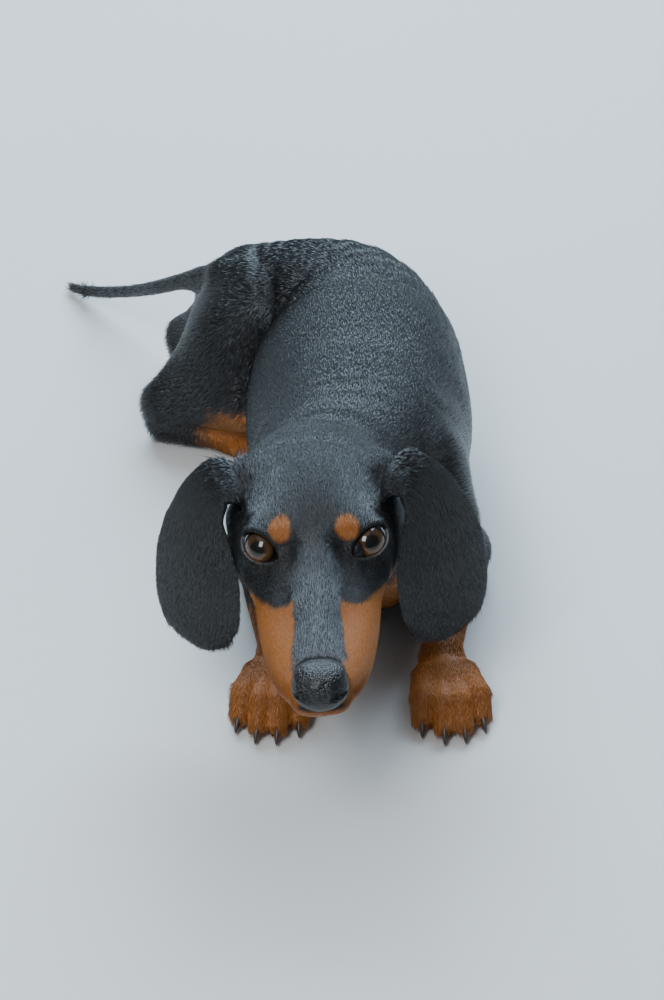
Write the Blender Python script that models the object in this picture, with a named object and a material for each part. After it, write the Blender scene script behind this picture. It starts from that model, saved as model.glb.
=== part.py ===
"""A life-size smooth-coated miniature dachshund, lying on its belly with its head raised and its hindquarters
turned to its right. All sizes are in millimetres and are turned into metres where a mesh is made. The dog
faces -Y, its left is +X, and the floor is z = 0.

The flesh is one rounded volume, described by distance functions (negative inside). Each node is that volume
meshed over its own stretch and parted from its neighbours by plane cuts with a thin gap."""

import math

import bmesh
import bpy
import numpy as np

MM = 0.001
GAP = 0.3
FLOOR = 0.0

# Driving dimensions
EYE_HEIGHT = 120.0
HEAD_PITCH = 10.0
HEAD_ROLL = 3.2
HEAD_YAW = 1.6
NOSE_REACH = 80.6
SKULL_BACK = 62.0
CHEEK_HALF_WIDTH = 38.0
EYE_RADIUS = 9.6
EYE_SPREAD = 21.8
EYE_DEPTH = 3.0
EAR_HALF_WIDTH = 24.5
EAR_HALF_THICKNESS = 1.7
EAR_BEND = 0.12
BODY_OFFSET = 20.5
CHEST_HALF_WIDTH = 55.0
BACK_HEIGHT = 117.0
PELVIS_TURN = 80.0
PELVIS_SPOT = (-28.0, 258.0)
FAR = 1e3

LEFT, RIGHT = 1.0, -1.0
SIDES = {"left": LEFT, "right": RIGHT}


# Distance functions, for points in an array of rows
def unit(v):
    v = np.asarray(v, float)
    return v / np.linalg.norm(v)


def blend(a, b, width):
    """The union of two volumes, with a fillet of about that width."""
    share = np.clip(0.5 + 0.5 * (b - a) / width, 0, 1)
    return b + (a - b) * share - width * share * (1 - share)


def carve(a, b, width):
    """Volume a without volume b, with a rounded edge."""
    return -blend(-a, b, width)


def within(field, p, spot, reach):
    """The field near a spot. Elsewhere it is only known to be far away."""
    distance = np.full(len(p), FAR)
    near = np.linalg.norm(p - np.array(spot), axis=1) < reach
    if near.any():
        distance[near] = field(p[near])
    return distance


def ball(p, centre, radius):
    return np.linalg.norm(p - centre, axis=1) - radius


def egg(p, centre, radii, axes=None):
    """An ellipsoid. The rows of axes are its own directions."""
    q = p - centre + 1e-6
    if axes is not None:
        q = q @ np.array(axes).T
    radii = np.array(radii)
    near = np.linalg.norm(q / radii, axis=1)
    return near * (near - 1) / np.linalg.norm(q / radii**2, axis=1)


def bone(p, start, end, start_radius, end_radius):
    """A rod with round ends whose radius changes evenly."""
    start, end = np.array(start), np.array(end)
    along = end - start
    share = np.clip((p - start) @ along / (along @ along), 0, 1)
    reach = np.linalg.norm(p - start - share[:, None] * along, axis=1)
    return reach - start_radius - share * (end_radius - start_radius)


def smooth_path(stations, samples=28):
    """A curve through the stations, read at even steps."""
    rows = np.array(stations, float)
    rows = np.vstack([2 * rows[0] - rows[1], rows, 2 * rows[-1] - rows[-2]])
    at = np.linspace(0, len(stations) - 1, samples)
    first = np.minimum(at.astype(int), len(stations) - 2)
    t = (at - first)[:, None]
    a, b, c, d = (rows[first + i] for i in range(4))
    curve = 2 * b + (c - a) * t + (2 * a - 5 * b + 4 * c - d) * t**2 + (3 * b - a - 3 * c + d) * t**3
    return curve / 2


def sweep(p, stations, bend=0.0, rim=0.0):
    """A body of oval sections along a smooth path, with round ends. A station is x, y, z, half width, half
    height and, for a flap, the bearing of its width in degrees. A flap is bent across by that share of its
    half width, and its edge has the rim's radius."""
    path = smooth_path(stations)
    points, sizes = path[:, :3], path[:, 3:5] - rim
    margin = sizes.max() + 40
    distance = np.full(len(p), FAR)
    inside = ((p > points.min(0) - margin) & (p < points.max(0) + margin)).all(1)
    near = p[inside]
    if not len(near):
        return distance
    start, along = points[:-1], np.diff(points, axis=0)
    length2 = (along**2).sum(1)
    share = np.clip((near @ along.T - (start * along).sum(1)) / length2, 0, 1)
    gap2 = sum((near[:, i, None] - start[:, i] - share * along[:, i]) ** 2 for i in range(3))
    best = gap2.argmin(1)
    t = share[np.arange(len(near)), best][:, None]
    tangent = np.gradient(points, axis=0)
    tangent /= np.linalg.norm(tangent, axis=1)[:, None]
    if path.shape[1] > 5:
        bearing = np.radians(path[:, 5])
        side = np.stack([np.sin(bearing), np.cos(bearing), 0 * bearing], 1)
        side -= tangent * (side * tangent).sum(1)[:, None]
    else:
        side = np.cross(tangent, (0, 0, 1.0))
    side /= np.linalg.norm(side, axis=1)[:, None]
    up = np.cross(side, tangent)

    def between(rows):
        return rows[best] * (1 - t) + rows[best + 1] * t

    q = near - between(points)
    size = between(sizes)
    width, height, end = size[:, 0], size[:, 1], np.sqrt(size[:, 0] * size[:, 1])
    across = (q * between(side)).sum(1) + 1e-6
    high = (q * between(up)).sum(1) + bend * width * np.minimum((across / width) ** 2, 1.5)
    beyond = ((best == 0) & (t[:, 0] == 0)) | ((best == len(along) - 1) & (t[:, 0] == 1))
    ahead = np.where(beyond, (q * between(tangent)).sum(1), 0)
    k = np.sqrt((across / width) ** 2 + (high / height) ** 2 + (ahead / end) ** 2)
    steep = np.sqrt((across / width**2) ** 2 + (high / height**2) ** 2 + (ahead / end**2) ** 2)
    distance[inside] = k * (k - 1) / steep - rim
    return distance


# The head's own frame: x forward, y to the dog's left, z up, its origin midway between the eyes
def head_axes():
    pitch, roll, yaw = (math.radians(a) for a in (HEAD_PITCH, HEAD_ROLL, HEAD_YAW))
    forward = np.array([math.sin(yaw) * math.cos(pitch), -math.cos(yaw) * math.cos(pitch), -math.sin(pitch)])
    level = unit(np.cross((0, 0, 1.0), forward))
    upright = np.cross(forward, level)
    left = level * math.cos(roll) + upright * math.sin(roll)
    return np.array([forward, left, np.cross(forward, left)])


HEAD_AXES = head_axes()
HEAD_SPOT = np.array([0.0, 0.0, EYE_HEIGHT])


def to_head(p):
    return (p - HEAD_SPOT) @ HEAD_AXES.T


def from_head(q):
    return np.atleast_2d(q) @ HEAD_AXES + HEAD_SPOT


def eye_spot(side):
    return np.array([-3.0, side * EYE_SPREAD, -2.5])


def eye_axes(side):
    """The opening's outward direction, the direction to its outer corner, and up along the lids."""
    out = unit([0.70, side * 0.30, 0.62])
    corner = unit(np.cross(out, [0.25, 0, 1.0]) * -side)
    corner = unit(corner + np.array([0, 0, 0.10]))
    up = unit(np.cross(out, corner) * side)
    up = up if up[2] > 0 else -up
    return out, corner, up


def lid_opening(q, side, inset=0.0):
    """The almond between the lids, from its floor outwards."""
    half_length, upper, lower = 9.3, 5.6, 4.9
    out, corner, up = eye_axes(side)
    r = q - eye_spot(side) - corner * 0.7
    a, b, depth = r @ corner, r @ up, r @ out
    arcs = []
    for height, way in ((upper, 1), (lower, -1)):
        radius = (half_length**2 + height**2) / (2 * height)
        arcs.append(np.hypot(a, b * way + radius - height) - radius)
    return np.maximum(np.maximum(*arcs), EYE_DEPTH - depth) + inset


def nose_pad(q):
    pad = egg(q, (72.0, 0, -8.8), (NOSE_REACH - 72.0, 12.2, 8.0))
    pad = blend(pad, egg(q, (74.3, 0, -12.0), (5.4, 8.4, 5.6)), 4)
    pad = blend(pad, egg(q, (66.5, 0, -4.5), (6.5, 10.5, 3.6)), 5)
    for side in (LEFT, RIGHT):
        pad = carve(pad, bone(q, (82.2, side * 4.8, -6.2), (77.6, side * 8.2, -6.8), 2.7, 2.2), 0.8)
        pad = carve(pad, bone(q, (77.6, side * 8.6, -7.0), (72.5, side * 12.9, -9.8), 1.5, 0.8), 0.7)
    return carve(pad, bone(q, (85.0, 0, -6.5), (81.0, 0, -21), 1.0, 1.0), 1.0)


def skull(q):
    """Cranium, face and muzzle, without the lower jaw."""
    crown = sweep(q, [
        (-SKULL_BACK + 23, 0, -2, 28, 21.5),
        (-30, 0, -1.5, 29.5, 23.5),
        (-14, 0, -4, 29, 24),
        (4, 0, -9, 23, 20),
        (20, 0, -12, 20, 16.5),
    ])
    bridge = sweep(q, [(0, 0, -1, 9, 9), (24, 0, -4.5, 8.6, 9), (46, 0, -7.5, 9.2, 8.6), (66, 0, -11, 10.4, 8.8)])
    face = blend(crown, bridge, 9)
    for side in (LEFT, RIGHT):
        face = blend(face, egg(q, (-18, side * 23.5, -19), (24, 13.5, 18)), 12)
        cheek = CHEEK_HALF_WIDTH - 7
        face = blend(face, bone(q, (4, side * 25, -13), (-26, side * cheek, -10), 5.5, 7.0), 9)
        face = blend(face, egg(q, (-6, side * 14.5, 8.5), (9, 8.5, 6.5)), 8)
        face = blend(face, bone(q, (-38, side * 22, 2), (-38, side * 29, 6), 9, 7), 10)
        lip = [(12, side * 18.5, -18, 9.8, 12), (38, side * 14.8, -17, 10.8, 11.4), (58, side * 10.4, -16.5, 10.6, 10.4),
               (69.6, side * 5.2, -17.2, 8.4, 8.4)]
        face = blend(face, sweep(q, lip), 8)
        face = carve(face, bone(q, (9, side * 12.6, 8.2), (26, side * 13.6, 1.5), 3.2, 1.5), 7)
    return face


def jaw(q):
    return sweep(q, [(-16, 0, -33, 25, 13), (12, 0, -32, 20, 10), (40, 0, -30, 14.5, 7.5), (63, 0, -27.5, 9.5, 6)])


def eyeball(q, side):
    return ball(q, eye_spot(side), EYE_RADIUS)


def lids(q, face):
    """The face with the swell of the eyeballs, the lids and their openings."""
    for side in (LEFT, RIGHT):
        face = blend(face, eyeball(q, side) - 1.7, 4)
    for side in (LEFT, RIGHT):
        face = carve(face, lid_opening(q, side), 1.2)
    return face


# The trunk's path bends to the dog's right behind the ribs
def neck(p):
    return sweep(p, [
        (-1, 28, 110, 22, 23),
        (0, 48, 109, 28, 28),
        (5, 68, 97, 33, 35),
        (13, 92, 81, 41, 42),
        (BODY_OFFSET, 116, 66, 44, 46),
    ])


def trunk(p):
    half = BACK_HEIGHT / 2
    return sweep(p, [
        (BODY_OFFSET - 3, 92, 54, 36, 42),
        (BODY_OFFSET, 122, half - 1, 48, half),
        (BODY_OFFSET, 160, half - 1, CHEST_HALF_WIDTH, half + 1),
        (BODY_OFFSET, 195, half - 1, CHEST_HALF_WIDTH - 0.5, half - 1),
        (BODY_OFFSET, 223, half - 2, CHEST_HALF_WIDTH - 4, half - 6),
        (13, 249, half - 2, 46, half - 10),
        (-9, 261, half - 4, 40, half - 13),
        (-24, 261, half - 6, 36, half - 17),
    ])


def pelvis_point(forward, left, height):
    """A point given in the pelvis's own frame, which faces away from the tail."""
    turn = math.radians(PELVIS_TURN)
    ahead, across = np.array([math.sin(turn), -math.cos(turn)]), np.array([math.cos(turn), math.sin(turn)])
    x, y = np.array(PELVIS_SPOT) + forward * ahead + left * across
    return np.array([x, y, height])


TAIL_STATIONS = [(-34, 258, 80, 9, 9), (-47, 265, 82, 7, 7), (-62, 279, 71, 5.2, 5.2), (-84, 303, 49, 4.2, 4.2),
                 (-102, 327, 30, 3.7, 3.7), (-123, 355, 11, 3.1, 3.1), (-134, 368, 4.5, 2.5, 2.5)]


def tail(p):
    return sweep(p, TAIL_STATIONS)


def elbow(side):
    return np.array([BODY_OFFSET + side * 49, 126, 17])


def wrist(side):
    return np.array([BODY_OFFSET + side * 38, 54, 13.5])


def hock(side):
    return pelvis_point(-47, side * 30, 15)


def hind_wrist(side):
    """Where the hind foot's toes begin."""
    return pelvis_point(-13, side * 33, 10)


def foreleg(p, side):
    x = BODY_OFFSET
    leg = egg(p, (x + side * 36, 106, 66), (15, 24, 34))
    leg = blend(leg, bone(p, (x + side * 38, 92, 58), elbow(side), 17, 12.5), 14)
    return blend(leg, bone(p, elbow(side), wrist(side), 12, 9.2), 10)


def hind_leg(p, side):
    hip, knee = pelvis_point(-6, side * 18, 62), pelvis_point(-2, side * 38, 38)
    seat = pelvis_point(-21, side * 14, 54)
    turn = math.radians(PELVIS_TURN)
    axes = [(math.sin(turn), -math.cos(turn), 0), (math.cos(turn), math.sin(turn), 0), (0, 0, 1)]
    leg = egg(p, pelvis_point(-10, side * 26, 46), (26, 18, 34), axes)
    leg = blend(leg, bone(p, hip, knee, 24, 15), 12)
    leg = blend(leg, bone(p, seat, hock(side) + (0, 0, 12), 14, 8.5), 12)
    leg = blend(leg, bone(p, knee, hock(side) + (0, 0, 4), 14, 9), 12)
    return blend(leg, bone(p, hock(side) - (0, 0, 5), hind_wrist(side), 8.5, 8), 6)


def paw_frame(side, hind):
    """The paw's root, its forward direction and its left, level with the floor."""
    if hind:
        root, aim = hind_wrist(side), pelvis_point(40, side * 6, 0) - pelvis_point(0, 0, 0)
    else:
        root, aim = wrist(side), np.array([side * 0.10, -1.0, 0])
    ahead = unit([aim[0], aim[1], 0])
    return np.array([root[0], root[1], 0]), ahead, np.cross((0, 0, 1.0), ahead)


TOE_SPREAD = (-1.5, -0.5, 0.5, 1.5)
TOE_REACH = (44.0, 50.0, 50.0, 44.0)
TOE_RADIUS = 6.4
HIND_SCALE = 0.86


def toe_points(side, hind, toe):
    """A toe's root, knuckle, tip and the way its claw points."""
    root, ahead, left = paw_frame(side, hind)
    scale = HIND_SCALE if hind else 1.0
    place, reach = TOE_SPREAD[toe], TOE_REACH[toe] * scale
    up = np.array([0, 0, 1.0])
    start = root + ahead * reach * 0.30 + left * place * 6.0 * scale + up * 11 * scale
    knuckle = root + ahead * reach * 0.70 + left * place * 8.4 * scale + up * 12.5 * scale
    tip = root + ahead * (reach - TOE_RADIUS) + left * place * 9.0 * scale + up * 6.5 * scale
    return start, knuckle, tip, unit(ahead + left * place * 0.08 - up * 0.30)


def paw(p, side, hind):
    scale = HIND_SCALE if hind else 1.0
    root, ahead, left = paw_frame(side, hind)
    palm = root + ahead * 18 * scale + (0, 0, 9.5 * scale)
    foot = egg(p, palm, (22 * scale, 14.5 * scale, 9.5 * scale), [ahead, left, (0, 0, 1)])
    foot = blend(foot, bone(p, root + (0, 0, 11), palm, 9.0, 9.5), 5)
    for toe in range(len(TOE_SPREAD)):
        start, knuckle, tip, _ = toe_points(side, hind, toe)
        radius = TOE_RADIUS * scale
        digit = np.minimum(bone(p, start, knuckle, radius, radius), bone(p, knuckle, tip, radius, radius * 0.86))
        foot = blend(foot, digit, 2.2)
    return foot


def head_flesh(p):
    """The head and neck, with the nose pad's seat."""
    q = to_head(p)
    face = blend(skull(q), jaw(q), 5)
    throat = bone(p, (0, 22, 92), (8, 66, 78), 22, 30)
    face = blend(blend(face, neck(p), 24), throat, 14)
    return carve(lids(q, face), nose_pad(q) - GAP, 1.0)


def trunk_and_legs(p):
    """All the flesh but the ears and the tail beyond its stump."""
    whole = blend(within(head_flesh, p, (5, 40, 105), 150), trunk(p), 22)
    whole = blend(whole, bone(p, (-24, 256, 76), TAIL_STATIONS[1][:3], 13, 8), 9)
    for side in (LEFT, RIGHT):
        whole = blend(whole, within(lambda near: foreleg(near, side), p, (elbow(side) + wrist(side)) / 2, 120), 10)
        whole = blend(whole, within(lambda near: hind_leg(near, side), p, pelvis_point(-18, side * 26, 46), 100), 12)
        for hind in (False, True):
            root, ahead, _ = paw_frame(side, hind)
            whole = blend(whole, within(lambda near: paw(near, side, hind), p, root + ahead * 20, 60), 5)
    return whole


def free_tail(p):
    """The tail from its stump to its tip."""
    return np.maximum(tail(p), GAP - trunk_and_legs(p))


# Meshing
def evaluate(field, p, chunk=60000):
    return np.concatenate([field(p[i : i + chunk]) for i in range(0, len(p), chunk)])


def sampled(field, low, high, step):
    """The field on a grid, read finely only near its surface."""
    coarse = 4
    count = np.ceil((high - low) / (step * coarse)).astype(int) + 1
    rough_at = np.stack(np.meshgrid(*(np.arange(n) for n in count), indexing="ij"), -1)
    rough = evaluate(field, (rough_at.reshape(-1, 3) * coarse * step + low)).reshape(count)
    fine = (rough.repeat(coarse, 0).repeat(coarse, 1).repeat(coarse, 2))
    close = np.abs(fine) < coarse * step * 2.2
    where = np.argwhere(close)
    fine[close] = evaluate(field, where * step + low)
    return fine


def surface(field, low, high, step):
    """Points and triangles of the closed surface where the field is zero. Each cube of the grid is split into
    six tetrahedra along its diagonal, so that every edge has exactly two faces."""
    low, high = np.array(low, float), np.array(high, float)
    grid = sampled(field, low, high, step)
    grid[np.abs(grid) < 1e-4] = 1e-4
    inside = grid < 0
    size = np.array(grid.shape)
    strides = np.array([size[1] * size[2], size[2], 1])
    corners = [inside[i : size[0] - 1 + i, j : size[1] - 1 + j, k : size[2] - 1 + k]
               for i in (0, 1) for j in (0, 1) for k in (0, 1)]
    count = sum(corner.astype(int) for corner in corners)
    base = np.argwhere((count > 0) & (count < 8)) @ strides
    values = grid.ravel()
    edges = []
    for order, sign in (((0, 1, 2), 1), ((1, 2, 0), 1), ((2, 0, 1), 1), ((0, 2, 1), -1), ((2, 1, 0), -1), ((1, 0, 2), -1)):
        steps = np.concatenate([[0], np.cumsum(strides[list(order)])])
        nodes = base[:, None] + steps
        within_body = values[nodes] < 0
        swaps = sum(~within_body[:, i] & within_body[:, j] for i in range(4) for j in range(i + 1, 4))
        nodes = np.take_along_axis(nodes, np.argsort(~within_body, axis=1, kind="stable"), 1)
        turned = (swaps % 2 == 1) != (sign < 0)
        number = within_body.sum(1)
        for many, pairs in ((1, ((0, 1), (0, 2), (0, 3))), (3, ((0, 3), (1, 3), (2, 3))),
                            (2, ((0, 2), (0, 3), (1, 3))), (2, ((0, 2), (1, 3), (1, 2)))):
            here = number == many
            triangle = np.stack([nodes[here][:, list(pair)] for pair in pairs], 1)
            flip = turned[here]
            triangle[flip] = triangle[flip][:, ::-1]
            edges.append(triangle)
    edges = np.sort(np.concatenate(edges), axis=2)
    keys = edges[..., 0] * len(values) + edges[..., 1]
    unique, faces = np.unique(keys.ravel(), return_inverse=True)
    a, b = unique // len(values), unique % len(values)
    place = [np.stack(np.unravel_index(node, grid.shape), 1) * step + low for node in (a, b)]
    share = (values[a] / (values[a] - values[b]))[:, None]
    return place[0] * (1 - share) + place[1] * share, faces.reshape(-1, 3)


def slope(field, p, reach=0.25):
    """The field's gradient, from the corners of a small tetrahedron."""
    corners = np.array([(1, 1, 1), (1, -1, -1), (-1, 1, -1), (-1, -1, 1)])
    return sum(evaluate(field, p + corner * reach)[:, None] * corner for corner in corners) / (4 * reach)


def onto_surface(obj, field, limit):
    """Moves an object's points to where the field is zero, none further than the limit."""
    points = np.array([vertex.co for vertex in obj.data.vertices]) / MM
    gradient = slope(field, points)
    steep = np.maximum((gradient**2).sum(1), 0.2)
    moved = points
    for _ in range(2):
        moved = moved - (evaluate(field, moved) / steep)[:, None] * gradient
    move = moved - points
    far = np.linalg.norm(move, axis=1)
    points = points + move * np.minimum(1, limit / np.maximum(far, 1e-9))[:, None]
    obj.data.vertices.foreach_set("co", (points * MM).ravel())
    obj.data.update()


# Blender objects
def paint(name, colour, roughness):
    material = bpy.data.materials.get(name) or bpy.data.materials.new(name)
    material.use_nodes = True
    shader = material.node_tree.nodes["Principled BSDF"]
    shader.inputs["Base Color"].default_value = (*colour, 1)
    shader.inputs["Roughness"].default_value = roughness
    shader.inputs["Metallic"].default_value = 0.0
    return material


def black_coat():
    return paint("black_coat", (0.018, 0.019, 0.022), 0.42)


def tan_coat():
    return paint("tan_coat", (0.55, 0.21, 0.05), 0.55)


def mesh_object(name, points, faces, material):
    mesh = bpy.data.meshes.new(name)
    mesh.from_pydata((np.asarray(points) * MM).tolist(), [], [[int(i) for i in face] for face in faces])
    mesh.materials.append(material)
    obj = bpy.data.objects.new(name, mesh)
    bpy.context.scene.collection.objects.link(obj)
    return obj


def bake_modifiers(obj):
    """Makes what the modifiers show the object's own mesh."""
    graph = bpy.context.evaluated_depsgraph_get()
    mesh = bpy.data.meshes.new_from_object(obj.evaluated_get(graph))
    obj.modifiers.clear()
    old, obj.data = obj.data, mesh
    bpy.data.meshes.remove(old)
    obj.data.name = obj.name


def body(name, field, low, high, step, triangles, material):
    """A field's volume as a closed mesh of about so many triangles."""
    obj = mesh_object(name, *surface(field, low, high, step), material)
    modifier = obj.modifiers.new("fewer_faces", "DECIMATE")
    modifier.ratio = min(1.0, triangles / len(obj.data.polygons))
    bake_modifiers(obj)
    onto_surface(obj, field, step * 0.15)
    return obj


def slice_off(obj, point, normal):
    """Cuts away what lies beyond a plane and closes the cut with one flat face."""
    mesh = bmesh.new()
    mesh.from_mesh(obj.data)
    geometry = mesh.verts[:] + mesh.edges[:] + mesh.faces[:]
    bmesh.ops.bisect_plane(
        mesh, geom=geometry, dist=0.02 * MM, plane_co=np.array(point) * MM, plane_no=normal, clear_outer=True
    )
    rim = [edge for edge in mesh.edges if edge.is_boundary]
    if rim:
        bmesh.ops.holes_fill(mesh, edges=rim, sides=0)
    mesh.to_mesh(obj.data)
    mesh.free()


def keep_largest(obj):
    mesh = bmesh.new()
    mesh.from_mesh(obj.data)
    left, pieces = set(mesh.verts), []
    while left:
        seed = left.pop()
        piece, todo = {seed}, [seed]
        while todo:
            for edge in todo.pop().link_edges:
                for other in edge.verts:
                    if other not in piece:
                        piece.add(other)
                        todo.append(other)
        left -= piece
        pieces.append(piece)
    pieces.sort(key=len)
    for piece in pieces[:-1]:
        bmesh.ops.delete(mesh, geom=list(piece), context="VERTS")
    mesh.to_mesh(obj.data)
    mesh.free()


def block(name, centre, axes, half_sizes):
    """A box that cuts, given by its own directions."""
    mesh = bmesh.new()
    bmesh.ops.create_cube(mesh, size=2)
    for vertex in mesh.verts:
        vertex.co = (np.array(centre) + (np.array(vertex.co) * half_sizes) @ np.array(axes)) * MM
    bmesh.ops.recalc_face_normals(mesh, faces=mesh.faces)
    data = bpy.data.meshes.new(name)
    mesh.to_mesh(data)
    mesh.free()
    obj = bpy.data.objects.new(name, data)
    bpy.context.scene.collection.objects.link(obj)
    return obj


def cut_with(obj, cutter, operation):
    modifier = obj.modifiers.new("cut", "BOOLEAN")
    modifier.object = cutter
    modifier.operation = operation
    modifier.solver = "EXACT"
    bpy.context.view_layer.update()
    graph = bpy.context.evaluated_depsgraph_get()
    if not obj.evaluated_get(graph).data.polygons:
        modifier.solver = "MANIFOLD"
    bake_modifiers(obj)
    bpy.data.objects.remove(cutter)


# Where the flesh is parted: each plane is a point and the direction that it faces, towards the tail
def parting_planes():
    turn = math.radians(PELVIS_TURN)
    tail_path = [np.array(station[:3]) for station in TAIL_STATIONS]
    return {
        "nape": ((2, 50, 116), unit([0.1, 0.79, -0.61])),
        "withers": ((16, 84, 90), unit([0.08, 0.72, -0.69])),
        "ribs": ((BODY_OFFSET, 196, 60), unit([-0.05, 1.0, 0])),
        "croup": ((4, 250, 60), unit([-math.sin(turn * 0.72), math.cos(turn * 0.72), 0])),
        "tail_middle": (tail_path[4], unit(tail_path[5] - tail_path[3])),
    }


PLANES = parting_planes()


def limb_zone(p, side, hind):
    """The stretch of flesh that belongs to a leg and its paw: round the limb's own form, outside the trunk."""
    if hind:
        turn = math.radians(PELVIS_TURN)
        inner, outward, own = pelvis_point(0, side * 19, 0), np.array([math.cos(turn), math.sin(turn), 0]), hind_leg(p, side)
    else:
        inner, outward, own = np.array([BODY_OFFSET + side * 32, 0, 0]), unit([1.0, 0, side * 0.16]), foreleg(p, side)
    own = np.minimum(own, paw(p, side, hind)) - 3.0
    return np.maximum(own, -side * ((p - inner) @ outward))


def limb_box(side, hind):
    """The lowest and highest corner of the space round a limb."""
    root, ahead, _ = paw_frame(side, hind)
    toes = root + ahead * 62
    if hind:
        ends = np.array([hock(side), toes, pelvis_point(-2, side * 38, 60), pelvis_point(-26, side * 14, 52)])
    else:
        ends = np.array([elbow(side) + (0, 12, 0), toes, (BODY_OFFSET + side * 36, 110, 80)])
    low, high = ends.min(0) - 32, ends.max(0) + 32
    return np.array([low[0], low[1], -6]), np.array([high[0], high[1], 112])


def grow(obj, amount):
    """Moves an object's points outwards along their normals."""
    mesh = bmesh.new()
    mesh.from_mesh(obj.data)
    mesh.normal_update()
    for vertex, normal in [(vertex, vertex.normal.copy()) for vertex in mesh.verts]:
        vertex.co += normal * amount * MM
    mesh.to_mesh(obj.data)
    mesh.free()


def limb_cutter(side, hind, more=0.0):
    low, high = limb_box(side, hind)
    cutter = body("limb_cutter", lambda p: limb_zone(p, side, hind), low - 6, high + 6, 3.0, 600, black_coat())
    grow(cutter, more)
    return cutter


def paw_zone(p, side, hind):
    root, ahead, _ = paw_frame(side, hind)
    return np.maximum(paw(p, side, hind) - 2.5, -((p - root - ahead * 2) @ ahead))


def paw_cutter(side, hind, more=0.0):
    root, ahead, _ = paw_frame(side, hind)
    middle = root + ahead * 24 + (0, 0, 10)
    low, high = middle - 45, middle + 45
    cutter = body("paw_cutter", lambda p: paw_zone(p, side, hind), low, high, 2.5, 460, black_coat())
    grow(cutter, more)
    return cutter


def flesh_node(name, low, high, step, triangles, planes, field=trunk_and_legs, material=None):
    """A field's volume between planes, over the box from low to high. planes holds (point, direction cut away)."""
    low, high = np.array(low, float), np.array(high, float)

    def closed(p):
        inner = np.maximum(low + step * 1.5 - p, p - high + step * 1.5).max(1)
        return np.maximum(evaluate(field, p), inner)

    obj = body(name, closed, low, high, step, triangles, material or black_coat())
    for point, away in planes:
        away = np.array(away)
        slice_off(obj, np.array(point) - away * GAP / 2, away)
    keep_largest(obj)
    return obj


def ahead_of(name):
    """Keeps what lies before a parting plane."""
    point, normal = PLANES[name]
    return point, normal


def behind(name):
    point, normal = PLANES[name]
    return point, -normal


ON_FLOOR = ((0, 0, FLOOR - GAP / 2), (0, 0, -1.0))


def make_head():
    head = flesh_node("head", (-52, -88, 66), (52, 84, 160), 1.3, 3850, [ahead_of("nape")], head_flesh)
    mouth_corner, mouth_height = 12.0, -26.2
    axes = [from_head(a)[0] - HEAD_SPOT for a in np.eye(3)]
    half = np.array([40.0, 34.0, 14.0])
    centre = from_head((mouth_corner + half[0], 0, mouth_height - half[2]))[0]
    lower_jaw = head.copy()
    lower_jaw.name = "lower_jaw"
    lower_jaw.data = head.data.copy()
    bpy.context.scene.collection.objects.link(lower_jaw)
    cut_with(lower_jaw, block("jaw_cutter", centre, axes, half), "INTERSECT")
    cut_with(head, block("jaw_cutter", centre, axes, half + GAP), "DIFFERENCE")
    keep_largest(head)
    keep_largest(lower_jaw)


def make_nose():
    leather = paint("nose_leather", (0.02, 0.02, 0.024), 0.3)
    body("nose", lambda p: nose_pad(to_head(p)), (-20, -92, 82), (20, -50, 124), 0.9, 560, leather)


def make_eyes():
    for name, side in SIDES.items():

        def dome(p, side=side):
            q = to_head(p)
            return carve(eyeball(q, side), -lid_opening(q, side, GAP), 0.5)

        low, high = from_head(eye_spot(side))[0] - 13, from_head(eye_spot(side))[0] + 13
        eye = body("eye_" + name, dome, low, high, 0.6, 230, paint("eye", (0.16, 0.07, 0.02), 0.06))
        cut_with(bpy.data.objects["head"], grown_copy(eye, GAP), "DIFFERENCE")
    keep_largest(bpy.data.objects["head"])


def make_trunk():
    neck_node = flesh_node("neck", (-44, 0, 30), (68, 130, 150), 2.4, 620, [behind("nape"), ahead_of("withers")])
    chest = flesh_node(
        "chest", (-46, 20, -6), (86, 208, 130), 2.8, 700, [behind("withers"), ahead_of("ribs"), ON_FLOOR]
    )
    loin = flesh_node("loin", (-46, 186, -6), (86, 306, 128), 2.8, 620, [behind("ribs"), ahead_of("croup"), ON_FLOOR])
    rump = flesh_node("rump", (-104, 206, -6), (60, 326, 128), 2.8, 620, [behind("croup"), ON_FLOOR])
    flesh_node("tail_base", (-116, 252, 14), (-40, 344, 100), 1.2, 260, [ahead_of("tail_middle")], free_tail)
    flesh_node("tail_tip", (-142, 306, -4), (-86, 378, 50), 1.2, 300, [behind("tail_middle"), ON_FLOOR], free_tail)
    for side in (LEFT, RIGHT):
        for obj, hind in ((neck_node, False), (chest, False), (loin, True), (rump, True)):
            cut_with(obj, limb_cutter(side, hind, GAP), "DIFFERENCE")
            keep_largest(obj)


def make_legs():
    for name, side in SIDES.items():
        for hind in (False, True):
            kind = "hind" if hind else "fore"
            low, high = limb_box(side, hind)

            def limb(p, side=side, hind=hind):
                return np.maximum(trunk_and_legs(p), limb_zone(p, side, hind) - 4)

            leg = flesh_node(f"{kind}leg_{name}", low, high, 1.6, 1040, [ON_FLOOR], limb)
            cut_with(leg, limb_cutter(side, hind), "INTERSECT")
            foot = leg.copy()
            foot.name = f"{kind}paw_{name}"
            foot.data = leg.data.copy()
            bpy.context.scene.collection.objects.link(foot)
            cut_with(leg, paw_cutter(side, hind, GAP), "DIFFERENCE")
            cut_with(foot, paw_cutter(side, hind), "INTERSECT")
            foot.data.materials.clear()
            foot.data.materials.append(tan_coat())
            keep_largest(leg)
            keep_largest(foot)
            add_claws(foot, side, hind)


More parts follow.
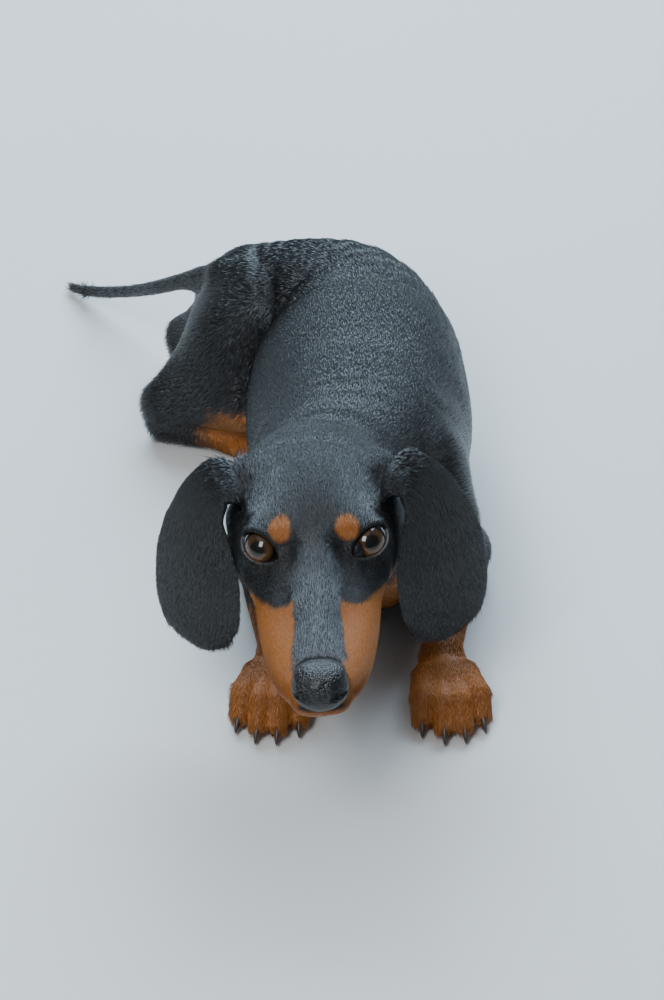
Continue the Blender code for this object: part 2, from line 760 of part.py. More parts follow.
def add_claws(foot, side, hind):
    """Curved horn cones, each with its root sunk in its toe."""
    scale = HIND_SCALE if hind else 1.0
    sides, rings = 7, 4
    for toe in range(len(TOE_SPREAD)):
        _, _, tip, aim = toe_points(side, hind, toe)
        tip = tip + (0, 0, 1.2)
        across = unit(np.cross(aim, (0, 0, 1.0)))
        upward = np.cross(across, aim)
        length, width, start = 8.6 * scale, 2.7 * scale, TOE_RADIUS * 0.4 * scale
        points = []
        for ring in range(rings):
            share = ring / rings
            middle = tip + aim * (start + share * length) - upward * (share**2 * 2.2)
            size = width * (1 - share * 0.62)
            for corner in range(sides):
                turn = 2 * math.pi * corner / sides
                points.append(middle + size * (across * math.cos(turn) * 0.8 + upward * math.sin(turn)))
        points.append(tip + aim * (start + length) - upward * 2.6)
        faces = [list(range(sides))[::-1]]
        for ring in range(rings - 1):
            for corner in range(sides):
                a, b = ring * sides + corner, ring * sides + (corner + 1) % sides
                faces.append([a, b, b + sides, a + sides])
        last = (rings - 1) * sides
        faces += [[last + c, last + (c + 1) % sides, rings * sides] for c in range(sides)]
        claw = mesh_object("claw", points, faces, tan_coat())
        outward_faces(claw)
        cut_with(foot, claw, "UNION")
    keep_largest(foot)


def outward_faces(obj):
    mesh = bmesh.new()
    mesh.from_mesh(obj.data)
    bmesh.ops.recalc_face_normals(mesh, faces=mesh.faces)
    mesh.to_mesh(obj.data)
    mesh.free()


def ear_mesh(side, columns=16, rows=21):
    """The hanging flap, bent round the cheek, as closed rings from its root in the skull to its rounded tip.
    A row holds x, y, z, half width, half thickness and the bearing of the width in degrees."""
    thick = EAR_HALF_THICKNESS
    path = smooth_path([
        (24, 33, 121, 12, thick + 1.0, 2),
        (33, 32, 131, 15, thick + 1.0, 6),
        (42, 31, 133, 17.5, thick + 0.7, 14),
        (50, 27.6, 124, 19.5, thick + 0.3, 28),
        (54.3, 24.2, 111, EAR_HALF_WIDTH * 0.94, thick, 38),
        (56.5, 21.5, 96.5, EAR_HALF_WIDTH * 1.03, thick, 44),
        (57.2, 19.9, 81, EAR_HALF_WIDTH * 1.02, thick, 47),
        (57, 18.8, 67, EAR_HALF_WIDTH * 0.93, thick, 49),
        (56.2, 17.8, 57, EAR_HALF_WIDTH * 0.70, thick, 50),
        (55.2, 17.3, 49.5, EAR_HALF_WIDTH * 0.28, thick * 0.7, 50),
    ], rows)
    centres, half_width, half_thick, bearing = path[:, :3], path[:, 3], path[:, 4], np.radians(path[:, 5])
    tangent = np.gradient(centres, axis=0)
    tangent /= np.linalg.norm(tangent, axis=1)[:, None]
    back = np.stack([np.sin(bearing), np.cos(bearing), 0 * bearing], 1)
    back -= tangent * (back * tangent).sum(1)[:, None]
    back /= np.linalg.norm(back, axis=1)[:, None]
    outward = np.cross(tangent, back)
    turn = 2 * math.pi * np.arange(columns) / columns
    across, through = np.cos(turn), np.sin(turn)
    through = np.sign(through) * np.abs(through) ** 0.7
    rings = centres[:, None] + (half_width[:, None] * across)[..., None] * back[:, None]
    bent = half_thick[:, None] * through - EAR_BEND * half_width[:, None] * (across**2 - 0.5)
    rings = rings + bent[..., None] * outward[:, None]
    rings[..., 0] *= side
    faces = [list(range(columns)), list(range((rows - 1) * columns, rows * columns))[::-1]]
    for row in range(rows - 1):
        for column in range(columns):
            a, b = row * columns + column, row * columns + (column + 1) % columns
            faces.append([a, a + columns, b + columns, b])
    return from_level(rings.reshape(-1, 3)), faces


def from_level(p):
    """Rolls points about the head's middle, as the head is rolled."""
    roll = math.radians(HEAD_ROLL)
    turn = np.array([[math.cos(roll), 0, math.sin(roll)], [0, 1, 0], [-math.sin(roll), 0, math.cos(roll)]])
    return (p - HEAD_SPOT) @ turn + HEAD_SPOT


def grown_copy(obj, amount):
    copy = obj.copy()
    copy.data = obj.data.copy()
    bpy.context.scene.collection.objects.link(copy)
    grow(copy, amount)
    return copy


def make_ears():
    for name, side in SIDES.items():
        flap = mesh_object("ear_" + name, *ear_mesh(side), black_coat())
        outward_faces(flap)
        for other in ("head", "neck"):
            cut_with(flap, grown_copy(bpy.data.objects[other], GAP), "DIFFERENCE")
        keep_largest(flap)


def centre_on_floor():
    """Moves the model so that its box's bottom centre is the origin."""
    objects = [obj for obj in bpy.context.scene.objects if obj.type == "MESH"]
    bpy.context.view_layer.update()
    corners = np.array([obj.matrix_world @ vertex.co for obj in objects for vertex in obj.data.vertices])
    middle = (corners.min(0) + corners.max(0)) / 2
    for obj in objects:
        obj.location.x -= middle[0]
        obj.location.y -= middle[1]
        obj.location.z -= corners[:, 2].min()
    bpy.context.view_layer.update()


def main():
    for obj in list(bpy.data.objects):
        bpy.data.objects.remove(obj)
    make_head()
    make_trunk()
    make_ears()
    make_nose()
    make_eyes()
    make_legs()
    centre_on_floor()


main()
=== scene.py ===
"""The looks of a life-size smooth-coated miniature dachshund that lies with its head raised and its
hindquarters turned to its right: skin, eyes, nose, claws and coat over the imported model. Sizes are in
millimetres in the dog's own frame, in which it faces -Y, its left is +X, and the floor is z = 0."""

import math

import bmesh
import bpy
import numpy as np
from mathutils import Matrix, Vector


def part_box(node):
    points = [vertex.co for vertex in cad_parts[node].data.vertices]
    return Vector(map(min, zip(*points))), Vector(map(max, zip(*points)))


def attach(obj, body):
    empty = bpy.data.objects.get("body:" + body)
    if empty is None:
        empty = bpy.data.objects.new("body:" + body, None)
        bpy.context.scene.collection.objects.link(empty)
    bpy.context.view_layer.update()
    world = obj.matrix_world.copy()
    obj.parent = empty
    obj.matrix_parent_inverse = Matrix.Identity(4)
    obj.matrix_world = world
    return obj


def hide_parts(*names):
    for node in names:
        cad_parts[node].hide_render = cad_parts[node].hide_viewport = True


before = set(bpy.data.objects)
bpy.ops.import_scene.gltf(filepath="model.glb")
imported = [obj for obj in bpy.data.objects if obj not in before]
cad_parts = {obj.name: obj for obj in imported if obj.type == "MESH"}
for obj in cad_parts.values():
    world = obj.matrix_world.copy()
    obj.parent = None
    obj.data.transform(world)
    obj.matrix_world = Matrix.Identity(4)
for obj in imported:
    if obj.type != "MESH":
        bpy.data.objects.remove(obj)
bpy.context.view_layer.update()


# Skin. The flesh of a lean, long-bodied young dog under one closed skin, from the lips to the tip of the
# tail. It is one rounded volume of distance functions (negative inside), set in by the depth of the coat,
# and meshed finely on the face and feet.
MM = 0.001
COAT_DEPTH = 0.9
EYE_HEIGHT = 120.0
HEAD_PITCH = 10.0
HEAD_ROLL = 3.2
HEAD_YAW = 1.6
NOSE_REACH = 80.6
SKULL_BACK = 62.0
CHEEK_HALF_WIDTH = 38.0
EYE_RADIUS = 9.6
EYE_SPREAD = 21.8
EYE_DEPTH = 3.0
EAR_HALF_WIDTH = 24.5
EAR_HALF_THICKNESS = 1.15
EAR_BEND = 0.12
BODY_OFFSET = 20.5
CHEST_HALF_WIDTH = 55.0
BACK_HEIGHT = 117.0
PELVIS_TURN = 80.0
PELVIS_SPOT = (-28.0, 258.0)
FAR = 1e3
LEFT, RIGHT = 1.0, -1.0
SIDES = {"left": LEFT, "right": RIGHT}


def unit(v):
    v = np.asarray(v, float)
    return v / np.linalg.norm(v)


def unit_rows(rows):
    return rows / np.maximum(np.linalg.norm(rows, axis=1), 1e-12)[:, None]


def blend(a, b, width):
    """The union of two volumes, with a fillet of about that width."""
    share = np.clip(0.5 + 0.5 * (b - a) / width, 0, 1)
    return b + (a - b) * share - width * share * (1 - share)


def carve(a, b, width):
    """Volume a without volume b, with a rounded edge."""
    return -blend(-a, b, width)


def within(field, p, spot, reach):
    """The field near a spot. Elsewhere it is only known to be far away."""
    distance = np.full(len(p), FAR)
    near = np.linalg.norm(p - np.array(spot), axis=1) < reach
    if near.any():
        distance[near] = field(p[near])
    return distance


def ball(p, centre, radius):
    return np.linalg.norm(p - centre, axis=1) - radius


def egg(p, centre, radii, axes=None):
    """An ellipsoid. The rows of axes are its own directions."""
    q = p - centre + 1e-6
    if axes is not None:
        q = q @ np.array(axes).T
    radii = np.array(radii)
    near = np.linalg.norm(q / radii, axis=1)
    return near * (near - 1) / np.linalg.norm(q / radii**2, axis=1)


def bone(p, start, end, start_radius, end_radius):
    """A rod with round ends whose radius changes evenly."""
    start, end = np.array(start), np.array(end)
    along = end - start
    share = np.clip((p - start) @ along / (along @ along), 0, 1)
    reach = np.linalg.norm(p - start - share[:, None] * along, axis=1)
    return reach - start_radius - share * (end_radius - start_radius)


def smooth_path(stations, samples=28):
    """A curve through the stations, read at even steps."""
    rows = np.array(stations, float)
    rows = np.vstack([2 * rows[0] - rows[1], rows, 2 * rows[-1] - rows[-2]])
    at = np.linspace(0, len(stations) - 1, samples)
    first = np.minimum(at.astype(int), len(stations) - 2)
    t = (at - first)[:, None]
    a, b, c, d = (rows[first + i] for i in range(4))
    curve = 2 * b + (c - a) * t + (2 * a - 5 * b + 4 * c - d) * t**2 + (3 * b - a - 3 * c + d) * t**3
    return curve / 2


def sweep(p, stations):
    """A body of oval sections along a smooth path, with round ends. A station is x, y, z, half width and half
    height."""
    path = smooth_path(stations)
    points, sizes = path[:, :3], path[:, 3:5]
    margin = sizes.max() + 40
    distance = np.full(len(p), FAR)
    inside = ((p > points.min(0) - margin) & (p < points.max(0) + margin)).all(1)
    near = p[inside]
    if not len(near):
        return distance
    start, along = points[:-1], np.diff(points, axis=0)
    length2 = (along**2).sum(1)
    share = np.clip((near @ along.T - (start * along).sum(1)) / length2, 0, 1)
    gap2 = sum((near[:, i, None] - start[:, i] - share * along[:, i]) ** 2 for i in range(3))
    best = gap2.argmin(1)
    t = share[np.arange(len(near)), best][:, None]
    tangent = unit_rows(np.gradient(points, axis=0))
    side = unit_rows(np.cross(tangent, (0, 0, 1.0)))
    up = np.cross(side, tangent)

    def between(rows):
        return rows[best] * (1 - t) + rows[best + 1] * t

    q = near - between(points)
    size = between(sizes)
    width, height, end = size[:, 0], size[:, 1], np.sqrt(size[:, 0] * size[:, 1])
    across = (q * between(side)).sum(1) + 1e-6
    high = (q * between(up)).sum(1)
    beyond = ((best == 0) & (t[:, 0] == 0)) | ((best == len(along) - 1) & (t[:, 0] == 1))
    ahead = np.where(beyond, (q * between(tangent)).sum(1), 0)
    k = np.sqrt((across / width) ** 2 + (high / height) ** 2 + (ahead / end) ** 2)
    steep = np.sqrt((across / width**2) ** 2 + (high / height**2) ** 2 + (ahead / end**2) ** 2)
    distance[inside] = k * (k - 1) / steep
    return distance


def head_axes():
    pitch, roll, yaw = (math.radians(a) for a in (HEAD_PITCH, HEAD_ROLL, HEAD_YAW))
    forward = np.array([math.sin(yaw) * math.cos(pitch), -math.cos(yaw) * math.cos(pitch), -math.sin(pitch)])
    level = unit(np.cross((0, 0, 1.0), forward))
    upright = np.cross(forward, level)
    left = level * math.cos(roll) + upright * math.sin(roll)
    return np.array([forward, left, np.cross(forward, left)])


HEAD_AXES = head_axes()
HEAD_SPOT = np.array([0.0, 0.0, EYE_HEIGHT])


def to_head(p):
    return (p - HEAD_SPOT) @ HEAD_AXES.T


def from_head(q):
    return np.atleast_2d(q) @ HEAD_AXES + HEAD_SPOT


def eye_spot(side):
    return np.array([-3.0, side * EYE_SPREAD, -2.5])


def eye_axes(side):
    """The opening's outward direction, the direction to its outer corner, and up along the lids."""
    out = unit([0.70, side * 0.30, 0.62])
    corner = unit(np.cross(out, [0.25, 0, 1.0]) * -side)
    corner = unit(corner + np.array([0, 0, 0.10]))
    up = unit(np.cross(out, corner) * side)
    up = up if up[2] > 0 else -up
    return out, corner, up


def almond(q, side, inset=0.0):
    """How far a point of the head is outside the eye's opening, seen along the opening's axis."""
    half_length, upper, lower = 9.3, 5.6, 4.9
    out, corner, up = eye_axes(side)
    r = q - eye_spot(side) - corner * 0.7
    a, b = r @ corner, r @ up
    arcs = []
    for height, way in ((upper, 1), (lower, -1)):
        radius = (half_length**2 + height**2) / (2 * height)
        arcs.append(np.hypot(a, b * way + radius - height) - radius)
    return np.maximum(*arcs) + inset


def lid_opening(q, side, inset=0.0):
    """The opening between the lids, down to a floor that follows the eyeball."""
    depth = (q - eye_spot(side)) @ eye_axes(side)[0]
    floor = np.maximum(EYE_RADIUS - 1.0 - np.linalg.norm(q - eye_spot(side), axis=1), EYE_DEPTH - 1 - depth)
    return np.maximum(almond(q, side, inset), floor)


def nose_pad(q):
    pad = egg(q, (72.0, 0, -8.8), (NOSE_REACH - 72.0, 12.2, 8.0))
    pad = blend(pad, egg(q, (74.3, 0, -12.0), (5.4, 8.4, 5.6)), 4)
    pad = blend(pad, egg(q, (66.5, 0, -4.5), (6.5, 10.5, 3.6)), 5)
    for side in (LEFT, RIGHT):
        pad = carve(pad, bone(q, (82.2, side * 4.8, -6.2), (77.6, side * 8.2, -6.8), 2.7, 2.2), 0.8)
        pad = carve(pad, bone(q, (77.6, side * 8.6, -7.0), (72.5, side * 12.9, -9.8), 1.5, 0.8), 0.7)
    return carve(pad, bone(q, (85.0, 0, -6.5), (81.0, 0, -21), 1.0, 1.0), 1.0)


def skull(q):
    """Cranium, face and muzzle, without the lower jaw."""
    crown = sweep(q, [
        (-SKULL_BACK + 23, 0, -2, 28, 21.5),
        (-30, 0, -1.5, 29.5, 23.5),
        (-14, 0, -4, 29, 24),
        (4, 0, -9, 23, 20),
        (20, 0, -12, 20, 16.5),
    ])
    bridge = sweep(q, [
        (0, 0, -1, 9, 9),
        (24, 0, -4.5, 8.6, 9),
        (46, 0, -7.5, 9.2, 8.6),
        (66, 0, -11, 10.4, 8.8),
    ])
    face = blend(crown, bridge, 9)
    for side in (LEFT, RIGHT):
        face = blend(face, egg(q, (-18, side * 23.5, -19), (24, 13.5, 18)), 12)
        cheek = CHEEK_HALF_WIDTH - 7
        face = blend(face, bone(q, (4, side * 25, -13), (-26, side * cheek, -10), 5.5, 7.0), 9)
        face = blend(face, egg(q, (-6, side * 14.5, 8.5), (9, 8.5, 6.5)), 8)
        face = blend(face, bone(q, (-38, side * 22, 2), (-38, side * 29, 6), 9, 7), 10)
        lip = sweep(q, [
            (12, side * 18.5, -18, 9.8, 12),
            (38, side * 14.8, -17, 10.8, 11.4),
            (58, side * 10.4, -16.5, 10.6, 10.4),
            (69.6, side * 5.2, -17.2, 8.4, 8.4),
        ])
        face = blend(face, lip, 8)
        face = carve(face, bone(q, (9, side * 12.6, 8.2), (26, side * 13.6, 1.5), 3.2, 1.5), 7)
    return face


def jaw(q):
    return sweep(q, [
        (-16, 0, -33, 25, 13),
        (12, 0, -32, 20, 10),
        (40, 0, -30, 14.5, 7.5),
        (63, 0, -27.5, 9.5, 6),
    ])


def lids(q, face):
    """The face with the swell of the eyeballs, the lids and their openings."""
    for side in (LEFT, RIGHT):
        face = blend(face, ball(q, eye_spot(side), EYE_RADIUS) - 1.7, 4)
    for side in (LEFT, RIGHT):
        face = carve(face, lid_opening(q, side), 0.9)
    return face


def from_mouth(q):
    """The height above or below the line where the lips meet."""
    x = q[:, 0]
    drop = 5.2 * np.clip((77 - x) / 22, 0, 1) ** 0.6 - 1.5 * np.clip((30 - x) / 18, 0, 1) ** 2
    return np.abs(q[:, 2] + 21.5 + drop)


def round_mouth(q, start):
    """The muzzle's front, around the lips."""
    return (q[:, 0] > start) & (q[:, 2] > -32) & (np.abs(q[:, 1]) < 34)


def mouth_line(q, face):
    """The closed lips: a narrow furrow from under the nose to below the eyes."""
    furrow = np.maximum(from_mouth(q) - 0.35, -(face + 1.4))
    return carve(face, np.maximum(furrow, 11.0 - q[:, 0]), 0.9)


def neck(p):
    return sweep(p, [
        (-1, 28, 110, 22, 23),
        (0, 48, 109, 28, 28),
        (5, 68, 97, 33, 35),
        (13, 92, 81, 41, 42),
        (BODY_OFFSET, 116, 66, 44, 46),
    ])


def trunk(p):
    half = BACK_HEIGHT / 2
    return sweep(p, [
        (BODY_OFFSET - 3, 92, 54, 36, 42),
        (BODY_OFFSET, 122, half - 1, 48, half),
        (BODY_OFFSET, 160, half - 1, CHEST_HALF_WIDTH, half + 1),
        (BODY_OFFSET, 195, half - 1, CHEST_HALF_WIDTH - 0.5, half - 1),
        (BODY_OFFSET, 223, half - 2, CHEST_HALF_WIDTH - 4, half - 6),
        (13, 249, half - 2, 46, half - 10),
        (-9, 261, half - 4, 40, half - 13),
        (-24, 261, half - 6, 36, half - 17),
    ])


def pelvis_point(forward, left, height):
    """A point given in the pelvis's own frame, which faces away from the tail."""
    turn = math.radians(PELVIS_TURN)
    ahead, across = np.array([math.sin(turn), -math.cos(turn)]), np.array([math.cos(turn), math.sin(turn)])
    x, y = np.array(PELVIS_SPOT) + forward * ahead + left * across
    return np.array([x, y, height])


TAIL_STATIONS = [
    (-34, 258, 80, 9, 9),
    (-47, 265, 82, 7, 7),
    (-62, 279, 71, 5.2, 5.2),
    (-84, 303, 49, 4.2, 4.2),
    (-102, 327, 30, 3.7, 3.7),
    (-123, 355, 11, 3.1, 3.1),
    (-134, 368, 4.5, 2.5, 2.5),
]


def tail(p):
    return sweep(p, TAIL_STATIONS)


def elbow(side):
    return np.array([BODY_OFFSET + side * 49, 126, 17])


def wrist(side):
    return np.array([BODY_OFFSET + side * 38, 54, 13.5])


def hock(side):
    return pelvis_point(-47, side * 30, 15)


def hind_wrist(side):
    """Where the hind foot's toes begin."""
    return pelvis_point(-13, side * 33, 10)


def foreleg(p, side):
    x = BODY_OFFSET
    leg = egg(p, (x + side * 36, 106, 66), (15, 24, 34))
    leg = blend(leg, bone(p, (x + side * 38, 92, 58), elbow(side), 17, 12.5), 14)
    return blend(leg, bone(p, elbow(side), wrist(side), 12, 9.2), 10)


def hind_leg(p, side):
    hip, knee = pelvis_point(-6, side * 18, 62), pelvis_point(-2, side * 38, 38)
    seat = pelvis_point(-21, side * 14, 54)
    turn = math.radians(PELVIS_TURN)
    axes = [(math.sin(turn), -math.cos(turn), 0), (math.cos(turn), math.sin(turn), 0), (0, 0, 1)]
    leg = egg(p, pelvis_point(-10, side * 26, 46), (26, 18, 34), axes)
    leg = blend(leg, bone(p, hip, knee, 24, 15), 12)
    leg = blend(leg, bone(p, seat, hock(side) + (0, 0, 12), 14, 8.5), 12)
    leg = blend(leg, bone(p, knee, hock(side) + (0, 0, 4), 14, 9), 12)
    return blend(leg, bone(p, hock(side) - (0, 0, 5), hind_wrist(side), 8.5, 8), 6)


def paw_frame(side, hind):
    """The paw's root, its forward direction and its left, level with the floor."""
    if hind:
        root, aim = hind_wrist(side), pelvis_point(40, side * 6, 0) - pelvis_point(0, 0, 0)
    else:
        root, aim = wrist(side), np.array([side * 0.10, -1.0, 0])
    ahead = unit([aim[0], aim[1], 0])
    return np.array([root[0], root[1], 0]), ahead, np.cross((0, 0, 1.0), ahead)


TOE_SPREAD = (-1.5, -0.5, 0.5, 1.5)
TOE_REACH = (44.0, 50.0, 50.0, 44.0)
TOE_RADIUS = 6.4
HIND_SCALE = 0.86


def toe_points(side, hind, toe):
    """A toe's root, knuckle, tip and the way its claw points."""
    root, ahead, left = paw_frame(side, hind)
    scale = HIND_SCALE if hind else 1.0
    place, reach = TOE_SPREAD[toe], TOE_REACH[toe] * scale
    up = np.array([0, 0, 1.0])
    start = root + ahead * reach * 0.30 + left * place * 6.0 * scale + up * 11 * scale
    knuckle = root + ahead * reach * 0.70 + left * place * 8.4 * scale + up * 12.5 * scale
    tip = root + ahead * (reach - TOE_RADIUS) + left * place * 9.0 * scale + up * 6.5 * scale
    return start, knuckle, tip, unit(ahead + left * place * 0.08 - up * 0.30)


def paw(p, side, hind):
    scale = HIND_SCALE if hind else 1.0
    root, ahead, left = paw_frame(side, hind)
    palm = root + ahead * 18 * scale + (0, 0, 9.5 * scale)
    foot = egg(p, palm, (22 * scale, 14.5 * scale, 9.5 * scale), [ahead, left, (0, 0, 1)])
    foot = blend(foot, bone(p, root + (0, 0, 11), palm, 9.0, 9.5), 5)
    for toe in range(len(TOE_SPREAD)):
        start, knuckle, tip, _ = toe_points(side, hind, toe)
        radius = TOE_RADIUS * scale
        first, last = bone(p, start, knuckle, radius, radius), bone(p, knuckle, tip, radius, radius * 0.86)
        foot = blend(foot, np.minimum(first, last), 2.2)
    return foot


def head_flesh(p):
    """The head and neck."""
    q = to_head(p)
    face = mouth_line(q, blend(skull(q), jaw(q), 5))
    throat = bone(p, (0, 22, 92), (8, 66, 78), 22, 30)
    face = blend(blend(face, neck(p), 24), throat, 14)
    return lids(q, face)


def flesh(p):
    """All the flesh but the ears."""
    whole = blend(within(head_flesh, p, (5, 40, 105), 150), trunk(p), 22)
    whole = blend(whole, bone(p, (-24, 256, 76), TAIL_STATIONS[1][:3], 13, 8), 9)
    whole = blend(whole, tail(p), 3)
    for side in (LEFT, RIGHT):
        fore_spot, hind_spot = (elbow(side) + wrist(side)) / 2, pelvis_point(-18, side * 26, 46)
        whole = blend(whole, within(lambda near: foreleg(near, side), p, fore_spot, 120), 10)
        whole = blend(whole, within(lambda near: hind_leg(near, side), p, hind_spot, 100), 12)
        for hind in (False, True):
            root, ahead, _ = paw_frame(side, hind)
            whole = blend(whole, within(lambda near: paw(near, side, hind), p, root + ahead * 20, 60), 5)
    return np.maximum(whole, -p[:, 2])


def coat_depth(p):
    """The coat is thinner on the face and feet than on the trunk."""
    q = to_head(p)
    thin = np.clip((q[:, 0] + 30) / 60, 0, 1) * (p[:, 1] < 40)
    low = np.clip((26 - p[:, 2]) / 12, 0, 1)
    return COAT_DEPTH * (1 - 0.45 * np.maximum(thin, low * 0.8))


def skin_field(p):
    return flesh(p) + coat_depth(p)


def evaluate(field, p, chunk=40000):
    return np.concatenate([field(p[i : i + chunk]) for i in range(0, len(p), chunk)])


def sampled(field, low, high, step):
    """The field on a grid, read finely only near its surface."""
    coarse = 4
    count = np.ceil((high - low) / (step * coarse)).astype(int) + 1
    rough_at = np.stack(np.meshgrid(*(np.arange(n) for n in count), indexing="ij"), -1)
    rough = evaluate(field, (rough_at.reshape(-1, 3) * coarse * step + low)).reshape(count)
    fine = rough.repeat(coarse, 0).repeat(coarse, 1).repeat(coarse, 2)
    close = np.abs(fine) < coarse * step * 1.8
    where = np.argwhere(close)
    fine[close] = evaluate(field, where * step + low)
    return fine


def surface(field, low, high, step):
    """Points and triangles of the closed surface where the field is zero. Each cube of the grid is split into
    six tetrahedra along its diagonal, so that every edge has exactly two faces."""
    low, high = np.array(low, float), np.array(high, float)
    grid = sampled(field, low, high, step)
    grid[np.abs(grid) < 1e-4] = 1e-4
    inside = grid < 0
    size = np.array(grid.shape)
    strides = np.array([size[1] * size[2], size[2], 1])
    corners = [inside[i : size[0] - 1 + i, j : size[1] - 1 + j, k : size[2] - 1 + k]
               for i in (0, 1) for j in (0, 1) for k in (0, 1)]
    count = sum(corner.astype(int) for corner in corners)
    base = np.argwhere((count > 0) & (count < 8)) @ strides
    values = grid.ravel()
    edges = []
    for order, sign in (((0, 1, 2), 1), ((1, 2, 0), 1), ((2, 0, 1), 1), ((0, 2, 1), -1), ((2, 1, 0), -1),
                        ((1, 0, 2), -1)):
        steps = np.concatenate([[0], np.cumsum(strides[list(order)])])
        nodes = base[:, None] + steps
        within_body = values[nodes] < 0
        swaps = sum(~within_body[:, i] & within_body[:, j] for i in range(4) for j in range(i + 1, 4))
        nodes = np.take_along_axis(nodes, np.argsort(~within_body, axis=1, kind="stable"), 1)
        turned = (swaps % 2 == 1) != (sign < 0)
        number = within_body.sum(1)
        for many, pairs in ((1, ((0, 1), (0, 2), (0, 3))), (3, ((0, 3), (1, 3), (2, 3))),
                            (2, ((0, 2), (0, 3), (1, 3))), (2, ((0, 2), (1, 3), (1, 2)))):
            here = number == many
            triangle = np.stack([nodes[here][:, list(pair)] for pair in pairs], 1)
            flip = turned[here]
            triangle[flip] = triangle[flip][:, ::-1]
            edges.append(triangle)
    edges = np.sort(np.concatenate(edges), axis=2)
    keys = edges[..., 0] * len(values) + edges[..., 1]
    unique, faces = np.unique(keys.ravel(), return_inverse=True)
    a, b = unique // len(values), unique % len(values)
    place = [np.stack(np.unravel_index(node, grid.shape), 1) * step + low for node in (a, b)]
    share = (values[a] / (values[a] - values[b]))[:, None]
    return place[0] * (1 - share) + place[1] * share, faces.reshape(-1, 3)


def mesh_arrays(mesh):
    """A mesh's points, in millimetres, and its triangles."""
    points = np.empty(len(mesh.vertices) * 3)
    mesh.vertices.foreach_get("co", points)
    mesh.calc_loop_triangles()
    triangles = np.empty(len(mesh.loop_triangles) * 3, int)
    mesh.loop_triangles.foreach_get("vertices", triangles)
    return points.reshape(-1, 3) / MM, triangles.reshape(-1, 3)


def new_object(name, points, triangles, material=None):
    """A mesh object from points in millimetres and triangles."""
    mesh = bpy.data.meshes.new(name)
    mesh.vertices.add(len(points))
    mesh.vertices.foreach_set("co", (np.asarray(points) * MM).astype(np.float32).ravel())
    mesh.loops.add(len(triangles) * 3)
    mesh.loops.foreach_set("vertex_index", np.asarray(triangles).astype(np.int32).ravel())
    mesh.polygons.add(len(triangles))
    mesh.polygons.foreach_set("loop_start", (np.arange(len(triangles)) * 3).astype(np.int32))
    mesh.update(calc_edges=True)
    if material:
        mesh.materials.append(material)
    obj = bpy.data.objects.new(name, mesh)
    bpy.context.scene.collection.objects.link(obj)
    return obj


def shown_mesh(obj):
    """Makes what the modifiers show the object's own mesh."""
    mesh = bpy.data.meshes.new_from_object(obj.evaluated_get(bpy.context.evaluated_depsgraph_get()))
    obj.modifiers.clear()
    old, obj.data = obj.data, mesh
    bpy.data.meshes.remove(old)
    mesh.name = obj.name


def thinned(points, triangles, ratio):
    obj = new_object("thinned", points, triangles)
    modifier = obj.modifiers.new("fewer_faces", "DECIMATE")
    modifier.ratio = ratio
    shown_mesh(obj)
    result = mesh_arrays(obj.data)
    bpy.data.objects.remove(obj)
    return result


def scatter(indices, rows, count):
    """Sums rows by index."""
    return np.stack([np.bincount(indices, rows[:, i], count) for i in range(rows.shape[1])], 1)


def normals_of(points, triangles):
    a, b, c = (points[triangles[:, i]] for i in range(3))
    face = np.cross(b - a, c - a)
    return unit_rows(sum(scatter(triangles[:, i], face, len(points)) for i in range(3)))


def edge_list(triangles):
    pairs = np.sort(np.concatenate([triangles[:, [0, 1]], triangles[:, [1, 2]], triangles[:, [2, 0]]]), 1)
    base = triangles.max() + 1
    keys, back = np.unique(pairs[:, 0] * base + pairs[:, 1], return_inverse=True)
    return np.stack([keys // base, keys % base], 1), back.reshape(3, -1).T


def neighbour_mean(points, edges):
    a, b = edges.T
    total = scatter(a, points[b], len(points)) + scatter(b, points[a], len(points))
    return total / np.bincount(edges.ravel(), minlength=len(points))[:, None]


def settle(points, triangles, field, rounds, limit):
    """Evens out the triangles and draws their points onto the field's zero surface."""
    edges, _ = edge_list(triangles)
    for _ in range(rounds):
        normal = normals_of(points, triangles)
        move = (neighbour_mean(points, edges) - points) * 0.5
        points = points + move - (move * normal).sum(1)[:, None] * normal
        off = np.clip(evaluate(field, points), -limit, limit)
        points = points - off[:, None] * normal * 0.9
    return points


def split_long(points, triangles, longest):
    """Halves every edge that is longer than its place allows."""
    edges, of_face = edge_list(triangles)
    a, b = points[edges[:, 0]], points[edges[:, 1]]
    split = np.linalg.norm(a - b, axis=1) > longest((a + b) / 2)
    middle = np.full(len(edges), -1)
    middle[split] = len(points) + np.arange(split.sum())
    points = np.concatenate([points, ((a + b) / 2)[split]])
    cut = middle[of_face]
    number = (cut >= 0).sum(1)
    made = [triangles[number == 0]]
    for turn in range(3):
        t, m = np.roll(triangles, -turn, 1), np.roll(cut, -turn, 1)
        one = (number == 1) & (m[:, 0] >= 0)
        both = np.concatenate([t, m], 1)
        made += [both[one][:, corners] for corners in ([0, 3, 2], [3, 1, 2])]
        two = (number == 2) & (m[:, 2] < 0)
        made += [both[two][:, corners] for corners in ([3, 1, 4], [0, 3, 4], [0, 4, 2])]
    both = np.concatenate([triangles, cut], 1)[number == 3]
    made += [both[:, corners] for corners in ([0, 3, 5], [3, 1, 4], [5, 4, 2], [3, 4, 5])]
    return points, np.concatenate(made)


